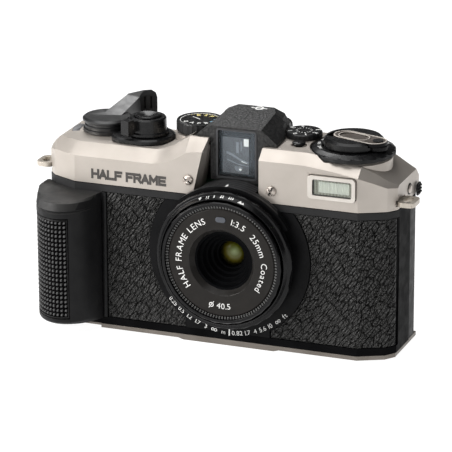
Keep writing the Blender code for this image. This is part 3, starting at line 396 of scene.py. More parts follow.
# ------------------------------------------------------------------ mesh helpers


def new_piece(name, bm, mat, body, smooth=True):
    """Make the mesh a piece that rides on one body of the frame."""
    mesh = bpy.data.meshes.new(name)
    bmesh.ops.recalc_face_normals(bm, faces=bm.faces)
    bm.to_mesh(mesh)
    bm.free()
    for poly in mesh.polygons:
        poly.use_smooth = smooth
    obj = bpy.data.objects.new(name, mesh)
    bpy.context.scene.collection.objects.link(obj)
    mesh.materials.append(mat)
    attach(obj, body)
    return obj


def skin(bm, rows, closed=False):
    """Faces between rows of vertices; closed joins each row's ends, and the last row to the first."""
    count = len(rows[0])
    for r in range(len(rows) if closed else len(rows) - 1):
        near, far = rows[r], rows[(r + 1) % len(rows)]
        for i in range(count if closed else count - 1):
            j = (i + 1) % count
            bm.faces.new((near[i], near[j], far[j], far[i]))


def turn_back(bm, push):
    """Carry the open border of a sheet backwards; push gives the step for each border point."""
    border = [e for e in bm.edges if e.is_boundary]
    for item in bmesh.ops.extrude_edge_only(bm, edges=border)["geom"]:
        if isinstance(item, bmesh.types.BMVert):
            item.co += push(item.co)


def store_painted_shade(obj, values):
    """Keep the painted shade of each vertex on the mesh; the border points, which come last, have none."""
    values += [0.0] * (len(obj.data.vertices) - len(values))
    obj.data.attributes.new("painted_shade", 'FLOAT', 'POINT').data.foreach_set("value", values)


def thicken(obj, thickness):
    solid = obj.modifiers.new("solid", 'SOLIDIFY')
    solid.thickness = thickness


def smooth_path(points, per):
    """Curve through all the points, with a number of steps between each two."""
    out = []
    for i in range(len(points) - 1):
        p0, p1 = V(points[max(i - 1, 0)]), V(points[i])
        p2, p3 = V(points[i + 1]), V(points[min(i + 2, len(points) - 1)])
        for k in range(per):
            t = k / per
            out.append(0.5 * (2 * p1 + (p2 - p0) * t + (2 * p0 - 5 * p1 + 4 * p2 - p3) * t * t
                              + (3 * p1 - p0 - 3 * p2 + p3) * t ** 3))
    out.append(V(points[-1]))
    return out


class Path:
    """Plan path with points and outward normals at any arc length."""

    def __init__(self, points):
        self.pts = [V(p) for p in points]
        self.acc = [0.0]
        for a, b in zip(self.pts, self.pts[1:]):
            self.acc.append(self.acc[-1] + (b - a).length)
        self.length = self.acc[-1]
        self.corner = []
        for i in range(len(self.pts)):
            a = self.pts[max(i - 1, 0)]
            b = self.pts[min(i + 1, len(self.pts) - 1)]
            d = (b - a).normalized()
            self.corner.append(V((d.y, -d.x)))

    def at(self, s):
        s = min(max(s, 0.0), self.length)
        i = max(k for k in range(len(self.acc) - 1) if self.acc[k] <= s + 1e-12)
        t = (s - self.acc[i]) / max(1e-9, self.acc[i + 1] - self.acc[i])
        point = self.pts[i].lerp(self.pts[i + 1], t)
        normal = self.corner[i].lerp(self.corner[i + 1], t).normalized()
        return point, normal


def grain(u, v, cell, seed):
    """Leather pebbles: nearest and second nearest seed distances on a jittered grid, in units of a cell."""
    x, y = u / cell, v / cell
    gx, gy = np.floor(x).astype(int), np.floor(y).astype(int)
    best = np.full(x.shape, 9.0)
    second = np.full(x.shape, 9.0)
    for dx in (-1, 0, 1):
        for dy in (-1, 0, 1):
            cx, cy = gx + dx, gy + dy
            h1 = np.sin(cx * 127.1 + cy * 311.7 + seed) * 43758.5453
            h2 = np.sin(cx * 269.5 + cy * 183.3 + seed) * 24634.6345
            px, py = cx + 0.1 + 0.8 * (h1 - np.floor(h1)), cy + 0.1 + 0.8 * (h2 - np.floor(h2))
            d = np.hypot(px - x, py - y)
            second = np.where(d < best, best, np.minimum(second, d))
            best = np.minimum(best, d)
    return best, second


def leather_relief(s, z, seed):
    """Height in millimetres, and painted shade from 0 to 1 (dark in the creases), of long slanting wrinkles
    filled with fine pebbles.
    """
    slant, stretch = math.radians(52), 3.1
    wrinkle_cell, pebble_cell = 4.2 * MM, 1.3 * MM
    wander = 0.42 * MM * np.sin(z / (1.5 * MM) + 3 * np.sin(s / (3.1 * MM)))
    u = s * math.cos(slant) + z * math.sin(slant) + wander
    v = (-s * math.sin(slant) + z * math.cos(slant)) * stretch + wander
    near, far = grain(u, v, wrinkle_cell, seed)
    swell = np.sin(np.clip((far - near) / 0.22, 0, 1) * math.pi / 2)
    fine_near, fine_far = grain(u + wander, v * 0.5 - wander, pebble_cell, seed + 7)
    fine = np.clip((fine_far - fine_near) / 0.4, 0, 1)
    height = 0.34 * swell - 0.34 * near ** 2 + 0.26 * fine
    shade = (0.25 + 0.75 * swell) * (0.52 + 0.55 * fine - 0.35 * near ** 2)
    return height, np.clip(shade, 0, 1)


def leather_sheet(name, path, z0, z1, start, end, seed, node):
    """Leather panel with a raised grain; start and end give the arc length limits at each height."""
    step, hem, tuck = 0.24 * MM, 0.5 * MM, 0.55 * MM
    rows = int((z1 - z0) / step)
    cols = int(path.length / step)
    grid_s = np.zeros((rows + 1, cols + 1))
    grid_z = np.zeros((rows + 1, cols + 1))
    for i in range(rows + 1):
        z = z0 + (z1 - z0) * i / rows
        a, b = start(z), end(z)
        grid_s[i] = a + (b - a) * np.linspace(0, 1, cols + 1)
        grid_z[i] = z
    height, shade = leather_relief(grid_s, grid_z, seed)
    edge_s = np.minimum(grid_s - grid_s[:, :1], grid_s[:, -1:] - grid_s)
    edge_z = np.minimum(grid_z - z0, z1 - grid_z)
    edge = np.clip(np.minimum(edge_s, edge_z) / hem, 0, 1)
    height = (height - 0.52) * MM * edge - 0.22 * MM * (1 - edge) ** 2
    bm = bmesh.new()
    verts = []
    for i in range(rows + 1):
        row = []
        for k in range(cols + 1):
            point, normal = path.at(grid_s[i, k])
            h = height[i, k]
            row.append(bm.verts.new((point.x + normal.x * h, point.y + normal.y * h, grid_z[i, k])))
        verts.append(row)
    skin(bm, verts)
    turn_back(bm, lambda co: V((0, tuck, 0)))
    obj = new_piece(name, bm, leather, "camera")
    store_painted_shade(obj, shade.ravel().tolist())
    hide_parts(node)


panel_r = 29.2 * MM
front = -15.0 * MM
foot_left, foot_right, foot_top = -9.9 * MM, 21.1 * MM, 8.9 * MM


def arc_x(z, side):
    """Edge of the round lens panel, or of the foot under it, at one height."""
    reach = math.sqrt(max(panel_r ** 2 - (z - LZ) ** 2, 0.0))
    if z < foot_top:
        reach = max(reach, foot_right - LX if side > 0 else LX - foot_left)
    return LX + side * reach


left_low, left_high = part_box("leather_left")
left_path = Path([(left_low.x, front), (LX, front)])
leather_sheet("leather_panel_left", left_path, left_low.z, left_high.z, lambda z: 0.0,
              lambda z: arc_x(z, -1) - left_low.x, 3.0, "leather_left")
right_path = Path([(LX, front), (51.2 * MM, front), (52.0 * MM, -14.85 * MM), (60.3 * MM, -10.75 * MM),
                   (60.9 * MM, -10.2 * MM), (63.0 * MM, -7.5 * MM)])
leather_sheet("leather_panel_right", right_path, left_low.z, left_high.z, lambda z: arc_x(z, 1) - LX,
              lambda z: right_path.length, 11.0, "leather_right")

# ------------------------------------------------------------------ grip pad of small square pyramids
grip_arc = smooth_path([(-63.4, -8.2), (-63.5, -13.0), (-63.0, -18.0), (-60.9, -23.6), (-57.0, -28.0),
                        (-52.0, -29.9), (-47.2, -28.3), (-43.6, -24.4), (-41.4, -19.0), (-40.5, -15.2)], 4)
pad_pts = [p for p in grip_arc if p.x < -46.3 and p.y < -8.0][1:]
pad = Path([p * MM for p in pad_pts])
# Lift in millimetres and painted shade of each part of the pad: edge and grooves dark, pyramid tops light;
# where two lines cross, the part named first wins.
PAD_PARTS = {"edge": (-0.35, 0.0), "rim": (-0.05, 0.25), "groove": (-0.62, 0.0), "top": (-0.05, 1.0)}


def pad_part(k, count):
    """What one line of the grid is: the edge, the flat rim, or a groove or flat top of a row of pyramids."""
    if k in (0, count - 1):
        return "edge"
    if k in (1, count - 2):
        return "rim"
    return "top" if (k - 2) % 4 in (1, 2) else "groove"


def pad_steps(length, margin, count):
    """Places of the grid lines: edge, rim, four to a pyramid, rim and edge."""
    pitch = (length - 2 * margin) / count
    inside = [margin + (i + part) * pitch for i in range(count) for part in (0.10, 0.40, 0.60, 0.90)]
    return [0.0, margin, *inside, length - margin, length]


def pyramid_pad():
    low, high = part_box("grip_rubber")
    tall, margin, rows = high.z - low.z, 0.6 * MM, 22
    cols = int(round(pad.length / ((tall - 2 * margin) / rows)))
    steps_s = pad_steps(pad.length, margin, cols)
    steps_z = pad_steps(tall, margin, rows)
    bm = bmesh.new()
    grid = []
    painted_shade = []
    for i, z in enumerate(steps_z):
        row = []
        for k, s in enumerate(steps_s):
            parts = (pad_part(k, len(steps_s)), pad_part(i, len(steps_z)))
            lift, shade = next(PAD_PARTS[part] for part in PAD_PARTS if part in parts)
            point, normal = pad.at(s)
            point = point + normal * lift * MM
            row.append(bm.verts.new((point.x, point.y, low.z + z)))
            painted_shade.append(shade)
        grid.append(row)
    skin(bm, grid)
    turn_back(bm, lambda co: mm(0.45 if co.x < -55 * MM else 0.135, 0.5, 0))
    obj = new_piece("grip_pad", bm, rubber, "camera", smooth=False)
    store_painted_shade(obj, painted_shade)
    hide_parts("grip_rubber")


pyramid_pad()

# ------------------------------------------------------------------ marks


def oval(x, y, half_wide, half_tall, degrees):
    """Points of an upright oval at the angles given."""
    angles = [math.radians(a) for a in degrees]
    return [(x + half_wide * math.cos(a), y + half_tall * math.sin(a)) for a in angles]


def circle(radius, steps, at=(0, 0)):
    return oval(*at, radius, radius, [360 * i / steps for i in range(steps)])


def rect(w, h, cx=0.0, cy=0.0):
    x, y = w / 2, h / 2
    return [(cx - x, cy - y), (cx + x, cy - y), (cx + x, cy + y), (cx - x, cy + y)]


def spoke(degrees, right, up):
    """Unit vector at an angle from right to up."""
    angle = math.radians(degrees)
    return right * math.cos(angle) + up * math.sin(angle)


class Marks:
    """Thin raised marks gathered into one piece; each is drawn on a plane of its own, in millimetres."""

    LIFT = 0.04 * MM
    BLANK = 0.28  # width of a space, as a share of the letter size

    def __init__(self):
        self.bm = bmesh.new()
        self.glyphs = {}

    def glyph(self, text, weight):
        """Outlines and width of one letter at size one, centred across."""
        key = (text, weight)
        if key not in self.glyphs:
            curve = bpy.data.curves.new("glyph", 'FONT')
            curve.body = text
            curve.size = 1.0
            curve.offset = weight
            curve.align_x = 'CENTER'
            curve.resolution_u = 3
            obj = bpy.data.objects.new("glyph", curve)
            bpy.context.scene.collection.objects.link(obj)
            bpy.context.view_layer.update()
            mesh = bpy.data.meshes.new_from_object(obj.evaluated_get(bpy.context.evaluated_depsgraph_get()))
            points = [v.co for v in mesh.vertices]
            left, right = min(p.x for p in points), max(p.x for p in points)
            middle = (left + right) / 2
            faces = [[(points[i].x - middle, points[i].y) for i in p.vertices] for p in mesh.polygons]
            bpy.data.objects.remove(obj)
            self.glyphs[key] = (faces, right - left)
        return self.glyphs[key]

    def faces(self, polys, origin, right, up, size):
        """Add outlines; corners at one place share a vertex, and a face that is there already is left out."""
        lift = right.cross(up).normalized() * self.LIFT
        cache = {}
        for poly in polys:
            ring = []
            for x, y in poly:
                key = (round(x, 5), round(y, 5))
                if key not in cache:
                    cache[key] = self.bm.verts.new(origin + right * (x * size) + up * (y * size) + lift)
                ring.append(cache[key])
            if len(set(ring)) == len(ring) and len(ring) > 2:
                try:
                    self.bm.faces.new(ring)
                except ValueError:
                    pass

    def arc(self, words, middle, radius, start, size, right, up, outward=True, weight=0.012, spacing=0.10):
        """Letters round a circle, sizes in millimetres; start is the angle of their middle, in degrees."""
        widths = [self.glyph(ch, weight)[1] if ch != " " else self.BLANK for ch in words]
        at = -(sum(widths) + spacing * (len(words) - 1)) / 2
        sign = -1 if outward else 1
        for ch, wide in zip(words, widths):
            angle = start + math.degrees(sign * (at + wide / 2) * size / radius)
            radial = spoke(angle, right, up)
            if ch != " ":
                self.faces(self.glyph(ch, weight)[0], middle + radial * (radius * MM),
                           spoke(angle + 90, right, up) * sign, radial * -sign, size * MM)
            at += wide + spacing

    def poly(self, points, origin, right, up, size=MM):
        self.faces([points], origin, right, up, size)

    def disc(self, radius, origin, right, up, at=(0, 0), inner=0.0, steps=24):
        """Disc, or a ring where inner is its inside radius."""
        outer = circle(radius, steps, at)
        if inner <= 0:
            self.faces([outer], origin, right, up, MM)
            return
        hole = circle(inner, steps, at)
        self.faces([[outer[i], outer[(i + 1) % steps], hole[(i + 1) % steps], hole[i]] for i in range(steps)],
                   origin, right, up, MM)

    def done(self, name, mat, body):
        return new_piece(name, self.bm, mat, body, smooth=False)


X, Y, Z = V((1, 0, 0)), V((0, 1, 0)), V((0, 0, 1))

# Lens ring: what any such lens states, aperture, focal length and filter size.
ring = Marks()
hub = V((LX, -22.72 * MM, LZ))
for words, angle in (("HALF FRAME LENS", 166), ("1:3.5  25mm", 45), ("Coated", -14)):
    ring.arc(words, hub, 14.3, angle, 3.1, X, Z, True, 0.0, 0.12)
ring.arc("40.5", hub + mm(0.8, 0, 0), 16.4, -90, 2.9, X, Z, False, 0.0, 0.12)
zero = hub + mm(-3.6, 0, -15.2)
ring.disc(0.85, zero, X, Z, inner=0.55)
ring.poly([(-1.0, -1.1), (-0.75, -1.2), (1.0, 1.1), (0.75, 1.2)], zero, X, Z)
ring.done("lens_ring_marks", white_ink, "lens_group")

# Distance scale on the panel under the lens and index marks.
scale = Marks()
panel_face = V((LX, -15.27 * MM, LZ))
scale.poly(rect(0.45, 2.6), panel_face + mm(0, 0, -27.4), X, Z)
for words, angle in (("0.82", -84.0), ("1.7", -76.0), ("4", -70.0), ("5.6", -64.0), ("10", -57.5),
                     ("ft", -43.5)):
    scale.arc(words, panel_face, 28.4, angle, 2.3, X, Z, False, 0.0, 0.1)
for words, angle in (("m", -94.5), ("3", -108.0), ("1.7", -114.5), ("1.2", -121.5), ("0.5", -129.0),
                     ("0.25", -137.5)):
    scale.arc(words, panel_face, 28.4, angle, 2.1, X, Z, False, 0.0, 0.1)
for angle in (-50.5, -101.5):
    radial = spoke(angle, X, Z)
    for side in (-0.52, 0.52):
        scale.disc(0.55, panel_face + radial * (27.7 * MM), spoke(angle + 90, X, Z), -radial, (side, 0), 0.33)
brow_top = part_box("front_panel")[1].z
scale.poly(rect(0.7, 2.2, 0, -0.1), V((LX, -16.7 * MM, brow_top)), X, Y)
scale.done("panel_marks", white_ink, "camera")


def person(marks, origin, right, up, k=1.0):
    """Head and shoulders; k is the scale."""
    body = ((-0.42, -0.4), (0.42, -0.4), (0.34, 0.72), (-0.34, 0.72))
    marks.disc(0.32 * k, origin, right, up, at=(0, 1.15 * k), steps=12)
    marks.poly([(x * k, y * k) for x, y in body], origin, right, up)


# Zone pictures on the sloping rim of the focus ring, from close up to far: a flower, things on a table, one,
# two and three people, and hills.
icons = Marks()
icon_r = 22.86 * MM
slope = math.atan2(0.8, 1.5)
for index, angle in enumerate((110, 103, 97, 90, 82, 73)):
    radial = spoke(angle, X, Z)
    along = spoke(angle - 90, X, Z)
    spot = V((LX, -21.7 * MM, LZ)) + radial * icon_r
    rise = Y * math.cos(slope) + radial * math.sin(slope)
    if index == 0:
        for x, y in circle(0.34, 5):
            icons.disc(0.2, spot, along, rise, at=(-y, 0.2 + x), steps=10)
        icons.poly(rect(0.14, 0.6, 0, -0.4), spot, along, rise)
    elif index == 1:
        icons.poly(rect(0.16, 1.3, -0.35), spot, along, rise)
        icons.poly(rect(0.16, 1.3, 0.35), spot, along, rise)
        icons.poly(rect(0.5, 0.36, 0.35, 0.5), spot, along, rise)
    elif index < 5:
        places, k = (((0,), 0.62), ((-0.36, 0.36), 0.6), ((-0.66, 0, 0.66), 0.56))[index - 2]
        for across in places:
            person(icons, spot + along * across * MM, along, rise, k)
    else:
        icons.poly([(-0.95, -0.6), (0.75, -0.6), (-0.1, 0.65)], spot, along, rise)
        icons.poly([(0.35, -0.6), (1.5, -0.6), (0.9, 0.35)], spot + radial * 0.01 * MM, along, rise)
icons.done("zone_marks", white_ink, "focus_ring")

# Plain name plate on the front: only what kind of camera it is.
STROKES = {
    "H": [((0, 0), (0, 1)), ((1, 0), (1, 1)), ((0, 0.5), (1, 0.5))],
    "A": [((0, 0), (0.5, 1)), ((1, 0), (0.5, 1)), ((0.2, 0.32), (0.8, 0.32))],
    "L": [((0, 0), (0, 1)), ((0, 0), (0.9, 0))],
    "F": [((0, 0), (0, 1)), ((0, 1), (0.95, 1)), ((0, 0.52), (0.8, 0.52))],
    "R": [((0, 0), (0, 1)), ((0, 1), (0.85, 1)), ((0.85, 1), (0.95, 0.85)), ((0.95, 0.85), (0.95, 0.65)),
          ((0.95, 0.65), (0.85, 0.5)), ((0.85, 0.5), (0, 0.5)), ((0.55, 0.5), (1, 0))],
    "M": [((0, 0), (0, 1)), ((1.1, 0), (1.1, 1)), ((0, 1), (0.55, 0.35)), ((1.1, 1), (0.55, 0.35))],
    "E": [((0, 0), (0, 1)), ((0, 1), (0.95, 1)), ((0, 0.5), (0.85, 0.5)), ((0, 0), (0.95, 0))],
}


def strokes(marks, words, origin, size, pitch, thick):
    """Bold block letters made of straight bars; pitch is the step from one letter to the next."""
    at = 0.0
    for ch in words:
        for number, (a, b) in enumerate(STROKES.get(ch, [])):
            a, b = V(a), V(b)
            d = (b - a).normalized() * thick / 2
            side = V((-d.y, d.x))
            pts = [a - d - side, b + d - side, b + d + side, a - d + side]
            lift = mm(0, -0.002 * number, 0)
            marks.poly([(at + q.x * 0.86, q.y) for q in pts], origin + lift, X, Z, size)
        at += pitch * {" ": 0.45, "M": 1.16, "A": 1.02}.get(ch, 0.98)


plate = Marks()
strokes(plate, "HALF FRAME", V((-43.6 * MM, front - 0.02 * MM, 55.2 * MM)), 2.55 * MM, 1.13, 0.39)
plate.done("front_lettering", dark_ink, "camera")

# Mode dial: white, yellow and blue letters, an index line and a row of dots.
mode = Marks()
mode_hub = centre("mode_dial")
mode_top = V((mode_hub.x, mode_hub.y, 73.62 * MM))
for words, angle in (("A", 255), ("P", 285), ("B", 315)):
    mode.arc(words, mode_top, 5.5, angle, 2.3, X, Y, False, 0.03)
mode.disc(0.75, mode_top + spoke(225, X, Y) * (5.4 * MM), X, Y, inner=0.4)
mode.disc(7.0, mode_top, X, Y, inner=6.75, steps=56)
mode.poly(rect(0.4, 4.2, 0, 2.1), mode_top, V((0.5, 0.866, 0)), V((-0.866, 0.5, 0)))
mode.done("mode_dial_marks_white", white_ink, "mode_dial")
mode_y = Marks()
for words, angle in (("P", 60), ("S", 88), ("B", 118)):
    mode_y.arc(words, mode_top, 4.2, angle, 2.3, X, Y, True, 0.04)
for k in range(11):
    mode_y.disc(0.24, mode_top + spoke(40 + 10 * k, X, Y) * (6.3 * MM), X, Y, steps=8)
mode_y.done("mode_dial_marks_yellow", yellow_ink, "mode_dial")
mode_b = Marks()
for words, angle in (("A", 345), ("P", 12)):
    mode_b.arc(words, mode_top, 4.4, angle, 2.1, X, Y, True, 0.04)
mode_b.done("mode_dial_marks_blue", blue_ink, "mode_dial")

# Exposure dial: steps either side of zero, with a tick at each of sixteen places.
ev = Marks()
ev_hub = centre("exposure_dial")
ev_top = V((ev_hub.x, ev_hub.y, top_of("exposure_dial") + 0.02 * MM))
for words, angle in (("2", 160), ("1", 205), ("0", 250), ("1", 295), ("2", 340), ("3", 25), ("3", 115)):
    ev.arc(words, ev_top, 5.6, angle, 2.3, X, Y, False, 0.03)
for k in range(16):
    out_way = spoke(115 + 22.5 * k, X, Y)
    ev.poly(rect(0.8, 0.22), ev_top + out_way * (2.6 * MM), out_way, Z.cross(out_way))
ev.done("exposure_dial_marks", white_ink, "exposure_dial")

# Film speeds round the ring under the rewind knob.
speed = Marks()
knob = centre("iso_ring")
speed_top = V((knob.x, knob.y, top_of("iso_ring") + 0.02 * MM))
for words, angle in (("50", 30), ("100", 52), ("125", 75), ("160", 98), ("200", 121), ("400", 144),
                     ("800", 167), ("1600", 190), ("3200", 213)):
    speed.arc(words, speed_top, 12.15, angle, 1.45, X, Y, False, 0.02)
speed.done("film_speed_marks", white_ink, "iso_ring")

# Circle with a bar on the roof that shows where the film lies.
film_mark = Marks()
mark = mm(8.0, 9.9, 77.87)
roof = V((0, 0.9968, 0.08))
film_mark.disc(1.6, mark, X, roof, inner=0.95, steps=28)
film_mark.poly(rect(5.8, 0.6), mark, X, roof)
film_mark.done("film_plane_mark", white_ink, "camera")

# ------------------------------------------------------------------ finder and flash insides
# Painted light in the finder: cards behind the window glow to stand in for the light and glints seen through
# it, and the dark back card for the shade inside.
glow_cards = bmesh.new()
BACK, CARD, SPARK, GLEAM = range(4)


def scrap(points, y, look):
    """Upright card in the finder with an outline in millimetres across and up, and one of the four looks."""
    glow_cards.faces.new([glow_cards.verts.new(mm(a, y, b)) for a, b in points]).material_index = look


def card(x0, x1, z0, z1, y, look):
    scrap(((x0, z0), (x1, z0), (x1, z1), (x0, z1)), y, look)


card(0.2, 13.2, 59.0, 74.6, -6.15, BACK)
card(0.95, 10.3, 59.4, 72.0, -6.3, CARD)
card(5.8, 6.7, 66.6, 70.4, -6.45, GLEAM)
card(7.3, 7.9, 67.4, 70.8, -6.45, GLEAM)
card(8.5, 10.2, 69.2, 71.8, -6.5, SPARK)
scrap(((2.3, 66.2), (4.4, 65.5), (7.2, 64.0), (10.2, 63.2), (10.2, 63.7), (7.0, 64.8), (4.6, 66.3),
       (2.4, 67.0)), -6.45, GLEAM)
scrap(((7.6, 63.7), (9.6, 63.2), (9.6, 63.4), (7.8, 64.1)), -6.5, SPARK)
scrap(((2.6, 63.9), (6.4, 62.6), (10.2, 62.2), (10.2, 62.4), (6.4, 63.0), (2.6, 64.3)), -6.5, GLEAM)
scrap(oval(6.6, 61.5, 1.35, 1.35, range(160, 381, 20)), -6.5, GLEAM)
scrap(oval(7.3, 60.95, 0.5, 0.4, range(0, 360, 30)), -6.6, SPARK)


def glow_mat(name, low, high, light, strength):
    """Card behind the finder glass that glows with painted light, in place of light focused by the lenses."""
    mat = new_mat(name, low, 0.25)
    shader_of(mat).inputs["Emission Color"].default_value = (*light, 1)
    shader_of(mat).inputs["Emission Strength"].default_value = strength
    tint(mat, noise(mat, 260, 2.0, (2.2, 1, 0.5)), low, high, 0.3, 0.7)
    return mat


finder_looks = (
    glow_mat("finder_back", (0.003, 0.005, 0.008), (0.006, 0.009, 0.013), (0.5, 0.7, 1.0), 0.002),
    glow_mat("finder_card", (0.045, 0.047, 0.049), (0.11, 0.114, 0.118), (0.97, 0.98, 1.0), 0.062),
    glow_mat("finder_spark", (0.6, 0.6, 0.58), (0.9, 0.88, 0.82), (1.0, 0.98, 0.90), 0.62),
    glow_mat("finder_gleam", (0.12, 0.13, 0.14), (0.34, 0.36, 0.38), (0.95, 0.98, 1.0), 0.105),
)
glow_cards_obj = new_piece("finder_glow_cards", glow_cards, finder_looks[BACK], "camera", smooth=False)
for look in finder_looks[CARD:]:
    glow_cards_obj.data.materials.append(look)
thicken(glow_cards_obj, 0.05 * MM)


def rounded(x0, x1, z0, z1, r, steps=5):
    """Rectangle with round corners, in millimetres."""
    out = []
    left, right, low, high = x0 + r, x1 - r, z0 + r, z1 - r
    for x, z, start in ((right, high, 0), (left, high, 90), (left, low, 180), (right, low, 270)):
        out += oval(x, z, r, r, [start + 90 * i / steps for i in range(steps + 1)])
    return out


def hoop(name, mat, inner, outer, y_back, y_front):
    """Flat-topped frame between two outlines with the same number of points, in millimetres."""
    bm = bmesh.new()
    corners = ((outer, y_back), (outer, y_front), (inner, y_front), (inner, y_back))
    skin(bm, [[bm.verts.new(mm(a, y, b)) for a, b in outline] for outline, y in corners], closed=True)
    new_piece(name, bm, mat, "camera", smooth=False)


# Thin raised rim round the finder window, and the seal and inner frame of the flash window.
hoop("finder_rim", rim_grey, rounded(0.05, 13.35, 58.7, 74.85, 0.5), rounded(-0.55, 13.95, 58.1, 75.45, 1.0),
     -8.9, -9.18)
hoop("flash_seal", black_plastic, rounded(36.55, 49.35, 58.35, 63.05, 0.5),
     rounded(36.15, 49.75, 57.95, 63.45, 0.7), -14.4, -15.4)
frame_olive = finish("flash_frame", (0.075, 0.078, 0.052), (0.13, 0.135, 0.10),
                     (0.34, 0.44), 300, (5200, 0.1, 0.02 * MM))
hoop("flash_frame", frame_olive, rounded(38.0, 49.0, 59.0, 62.75, 0.3), rounded(36.5, 49.5, 58.3, 63.15, 0.5),
     -15.2, -15.45)

# Bright edge round the folding rewind crank: a raised trim whose pale, dull colour is painted highlight on its
# chrome edge.
crank_turn = math.radians(-17.0)
crank_hub = centre("iso_ring")
TRIM_LOW, TRIM_HIGH = 74.4, 74.62


def stadium(near, far, half, steps=10):
    """Round-ended outline along the crank, in millimetres from the rewind axis."""
    half_turn = [180 * i / steps for i in range(steps + 1)]
    return (oval(far - half, 0, half, half, [a - 90 for a in half_turn])
            + oval(near + half, 0, half, half, [a + 90 for a in half_turn]))


def crank_place(a, b, z):
    """Place in the frame of a point along and across the crank, in millimetres."""
    turned = Matrix.Rotation(crank_turn, 3, 'Z') @ mm(a, b, z)
    return V((crank_hub.x, crank_hub.y, 0)) + turned


trim = bmesh.new()
for near, far, half, wide in ((-7.3, 12.7, 4.15, 0.42), (-5.6, 6.0, 3.35, 0.28)):
    outside, inside = stadium(near, far, half), stadium(near + wide, far - wide, half - wide)
    levels = ((outside, TRIM_LOW), (outside, TRIM_HIGH), (inside, TRIM_HIGH), (inside, TRIM_LOW))
    rows = [[trim.verts.new(crank_place(a, b, z)) for a, b in outline] for outline, z in levels]
    skin(trim, rows, closed=True)
pale_edge_highlight = finish("pale_edge_highlight", (0.52, 0.48, 0.44), (0.62, 0.58, 0.53),
                    (0.42, 0.5), 300, (5200, 0.01, 0.01 * MM), spec=0.2)
new_piece("crank_trim", trim, pale_edge_highlight, "rewind_crank", smooth=False)

# Fine threads that show between the name ring and the filter ring: flat teeth whose light grey is painted
# highlight on the thread crests.
threads = bmesh.new()
teeth, tooth_width = 120, 0.36
for i in range(teeth):
    for radius, depth in ((19.2, -22.5), (19.62, -22.75)):
        a, b = 2 * math.pi * i / teeth, 2 * math.pi * (i + 0.5) / teeth
        corners = ((radius, a), (radius, b), (radius + tooth_width, b), (radius + tooth_width, a))
        threads.faces.new([threads.verts.new(V((LX, 0, LZ)) + mm(r * math.cos(t), depth, r * math.sin(t)))
                           for r, t in corners])
thread_highlight_grey = finish("thread_highlight_grey", (0.090, 0.090, 0.088), (0.125, 0.125, 0.122),
                     (0.36, 0.44), 400, (5200, 0.1, 0.01 * MM))
threads_obj = new_piece("filter_threads", threads, thread_highlight_grey, "lens_group", smooth=False)
thicken(threads_obj, 0.08 * MM)

# Screw in a round recess on the right-hand shoulder: a flat dark ring of painted shade where the recess lies,
# then a bright domed head.
boss = bmesh.new()
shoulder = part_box("top_cover")[1].x
turns, recess_shade_rings = 28, 2
profile = ((2.0, 0.0), (2.0, 0.12), (1.45, 0.12), (1.45, 0.3), (1.2, 0.55), (0.7, 0.66), (0.0, 0.68))
rings = [[boss.verts.new(V((shoulder, 0, 0)) + mm(lift, y, z)) for y, z in circle(radius, turns, (5.4, 56.6))]
         for radius, lift in profile]
for number, (a, b) in enumerate(zip(rings, rings[1:])):
    for i in range(turns):
        j = (i + 1) % turns
        boss.faces.new((a[i], a[j], b[j], b[i])).material_index = 1 if number >= recess_shade_rings else 0
bmesh.ops.remove_doubles(boss, verts=boss.verts, dist=1e-7)
boss_obj = new_piece("shoulder_screw", boss, black_plastic, "camera")
boss_obj.data.materials.append(satin)

# Upright ribs over the front of the flash window.
fresnel = bmesh.new()
low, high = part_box("flash_window")
folds, gap, rib_depth = 52, 0.1 * MM, 0.22 * MM
last = None
for i in range(folds + 1):
    x = low.x + gap + (high.x - low.x - 2 * gap) * i / folds
    y = low.y - rib_depth if i % 2 else low.y
    pair = (fresnel.verts.new((x, y, low.z + gap)), fresnel.verts.new((x, y, high.z - gap)))
    if last:
        fresnel.faces.new((last[0], pair[0], pair[1], last[1]))
    last = pair
new_piece("flash_ribs", fresnel, flash_glass, "camera", smooth=False)

# ------------------------------------------------------------------ stage, light and camera
floor_half, floor_z = 6, -0.02 * MM
stage_mat = new_mat("floor", (0.92, 0.92, 0.92), 0.75)
tint(stage_mat, noise(stage_mat, 3.0), (0.20, 0.20, 0.20), (0.22, 0.22, 0.22))
shader_of(stage_mat).inputs["Emission Color"].default_value = (1, 1, 1, 1)
shader_of(stage_mat).inputs["Emission Strength"].default_value = 0.97
floor_mesh = bpy.data.meshes.new("floor")
floor_mesh.from_pydata([(x, y, floor_z) for x, y in rect(2 * floor_half, 2 * floor_half)], [], [(0, 1, 2, 3)])
floor_mesh.materials.append(stage_mat)
floor = bpy.data.objects.new("floor", floor_mesh)
bpy.context.scene.collection.objects.link(floor)

world = bpy.data.worlds.new("studio")
bpy.context.scene.world = world
world.use_nodes = True
world.node_tree.nodes["Background"].inputs["Color"].default_value = (1.0, 1.0, 1.0, 1.0)
world.node_tree.nodes["Background"].inputs["Strength"].default_value = 0.07


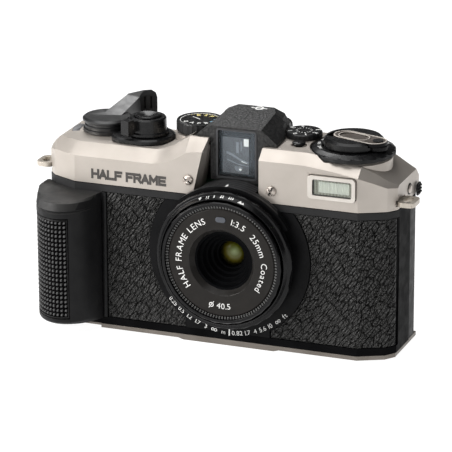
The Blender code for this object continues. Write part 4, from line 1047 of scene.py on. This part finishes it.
def area(name, place, aim, size, power, tone=(1, 1, 1), tall=None):
    """Soft lamp at a place in metres, aimed at a point; tall makes it a rectangle."""
    light = bpy.data.lights.new(name, 'AREA')
    light.energy = power
    light.color = tone
    light.size = size
    if tall:
        light.shape = 'RECTANGLE'
        light.size_y = tall
    obj = bpy.data.objects.new(name, light)
    obj.location = place
    obj.rotation_euler = (V(aim) - V(place)).to_track_quat('-Z', 'Y').to_euler()
    bpy.context.scene.collection.objects.link(obj)


area("key", (-0.26, -0.22, 0.18), (-0.03, 0, 0.05), 0.18, 1.22, (1.0, 0.985, 0.97))
area("fill", (0.60, -0.55, 0.30), (0, 0, 0.04), 0.40, 0.2, (1.0, 0.99, 0.98))
area("top", (-0.10, -0.15, 0.70), (-0.02, 0, 0.04), 0.65, 3.7)
area("rear", (-0.27, 0.40, 0.60), (-0.04, 0.01, 0.07), 0.30, 1.7)
area("strip", (-0.75, 0.0, 0.22), (0, 0, 0.04), 0.12, 1.2, (1, 1, 1), 0.5)

# Camera: a long lens a metre away, above and to the right of the front.
azimuth, elevation, roll = math.radians(20.911), math.radians(18.837), math.radians(-0.292)
target = mm(1.272, -5.0, 39.512)
distance = 1.047675
right = V((math.cos(azimuth), math.sin(azimuth), 0.0))
away = V((math.sin(azimuth), -math.cos(azimuth), 0.0))
back = away * math.cos(elevation) + Z * math.sin(elevation)
up = back.cross(right)
right_r = right * math.cos(roll) + up * math.sin(roll)
up_r = up * math.cos(roll) - right * math.sin(roll)
place = target + back * distance
cam = bpy.data.cameras.new("camera")
cam.sensor_width = 36.0
cam.lens = 244.85
cam.clip_start = 0.05
cam.clip_end = 50.0
cam_obj = bpy.data.objects.new("camera", cam)
cam_obj.matrix_world = Matrix(((right_r.x, up_r.x, back.x, place.x), (right_r.y, up_r.y, back.y, place.y),
                               (right_r.z, up_r.z, back.z, place.z), (0, 0, 0, 1)))
bpy.context.scene.collection.objects.link(cam_obj)
bpy.context.scene.camera = cam_obj
bpy.context.scene.view_settings.view_transform = 'Standard'
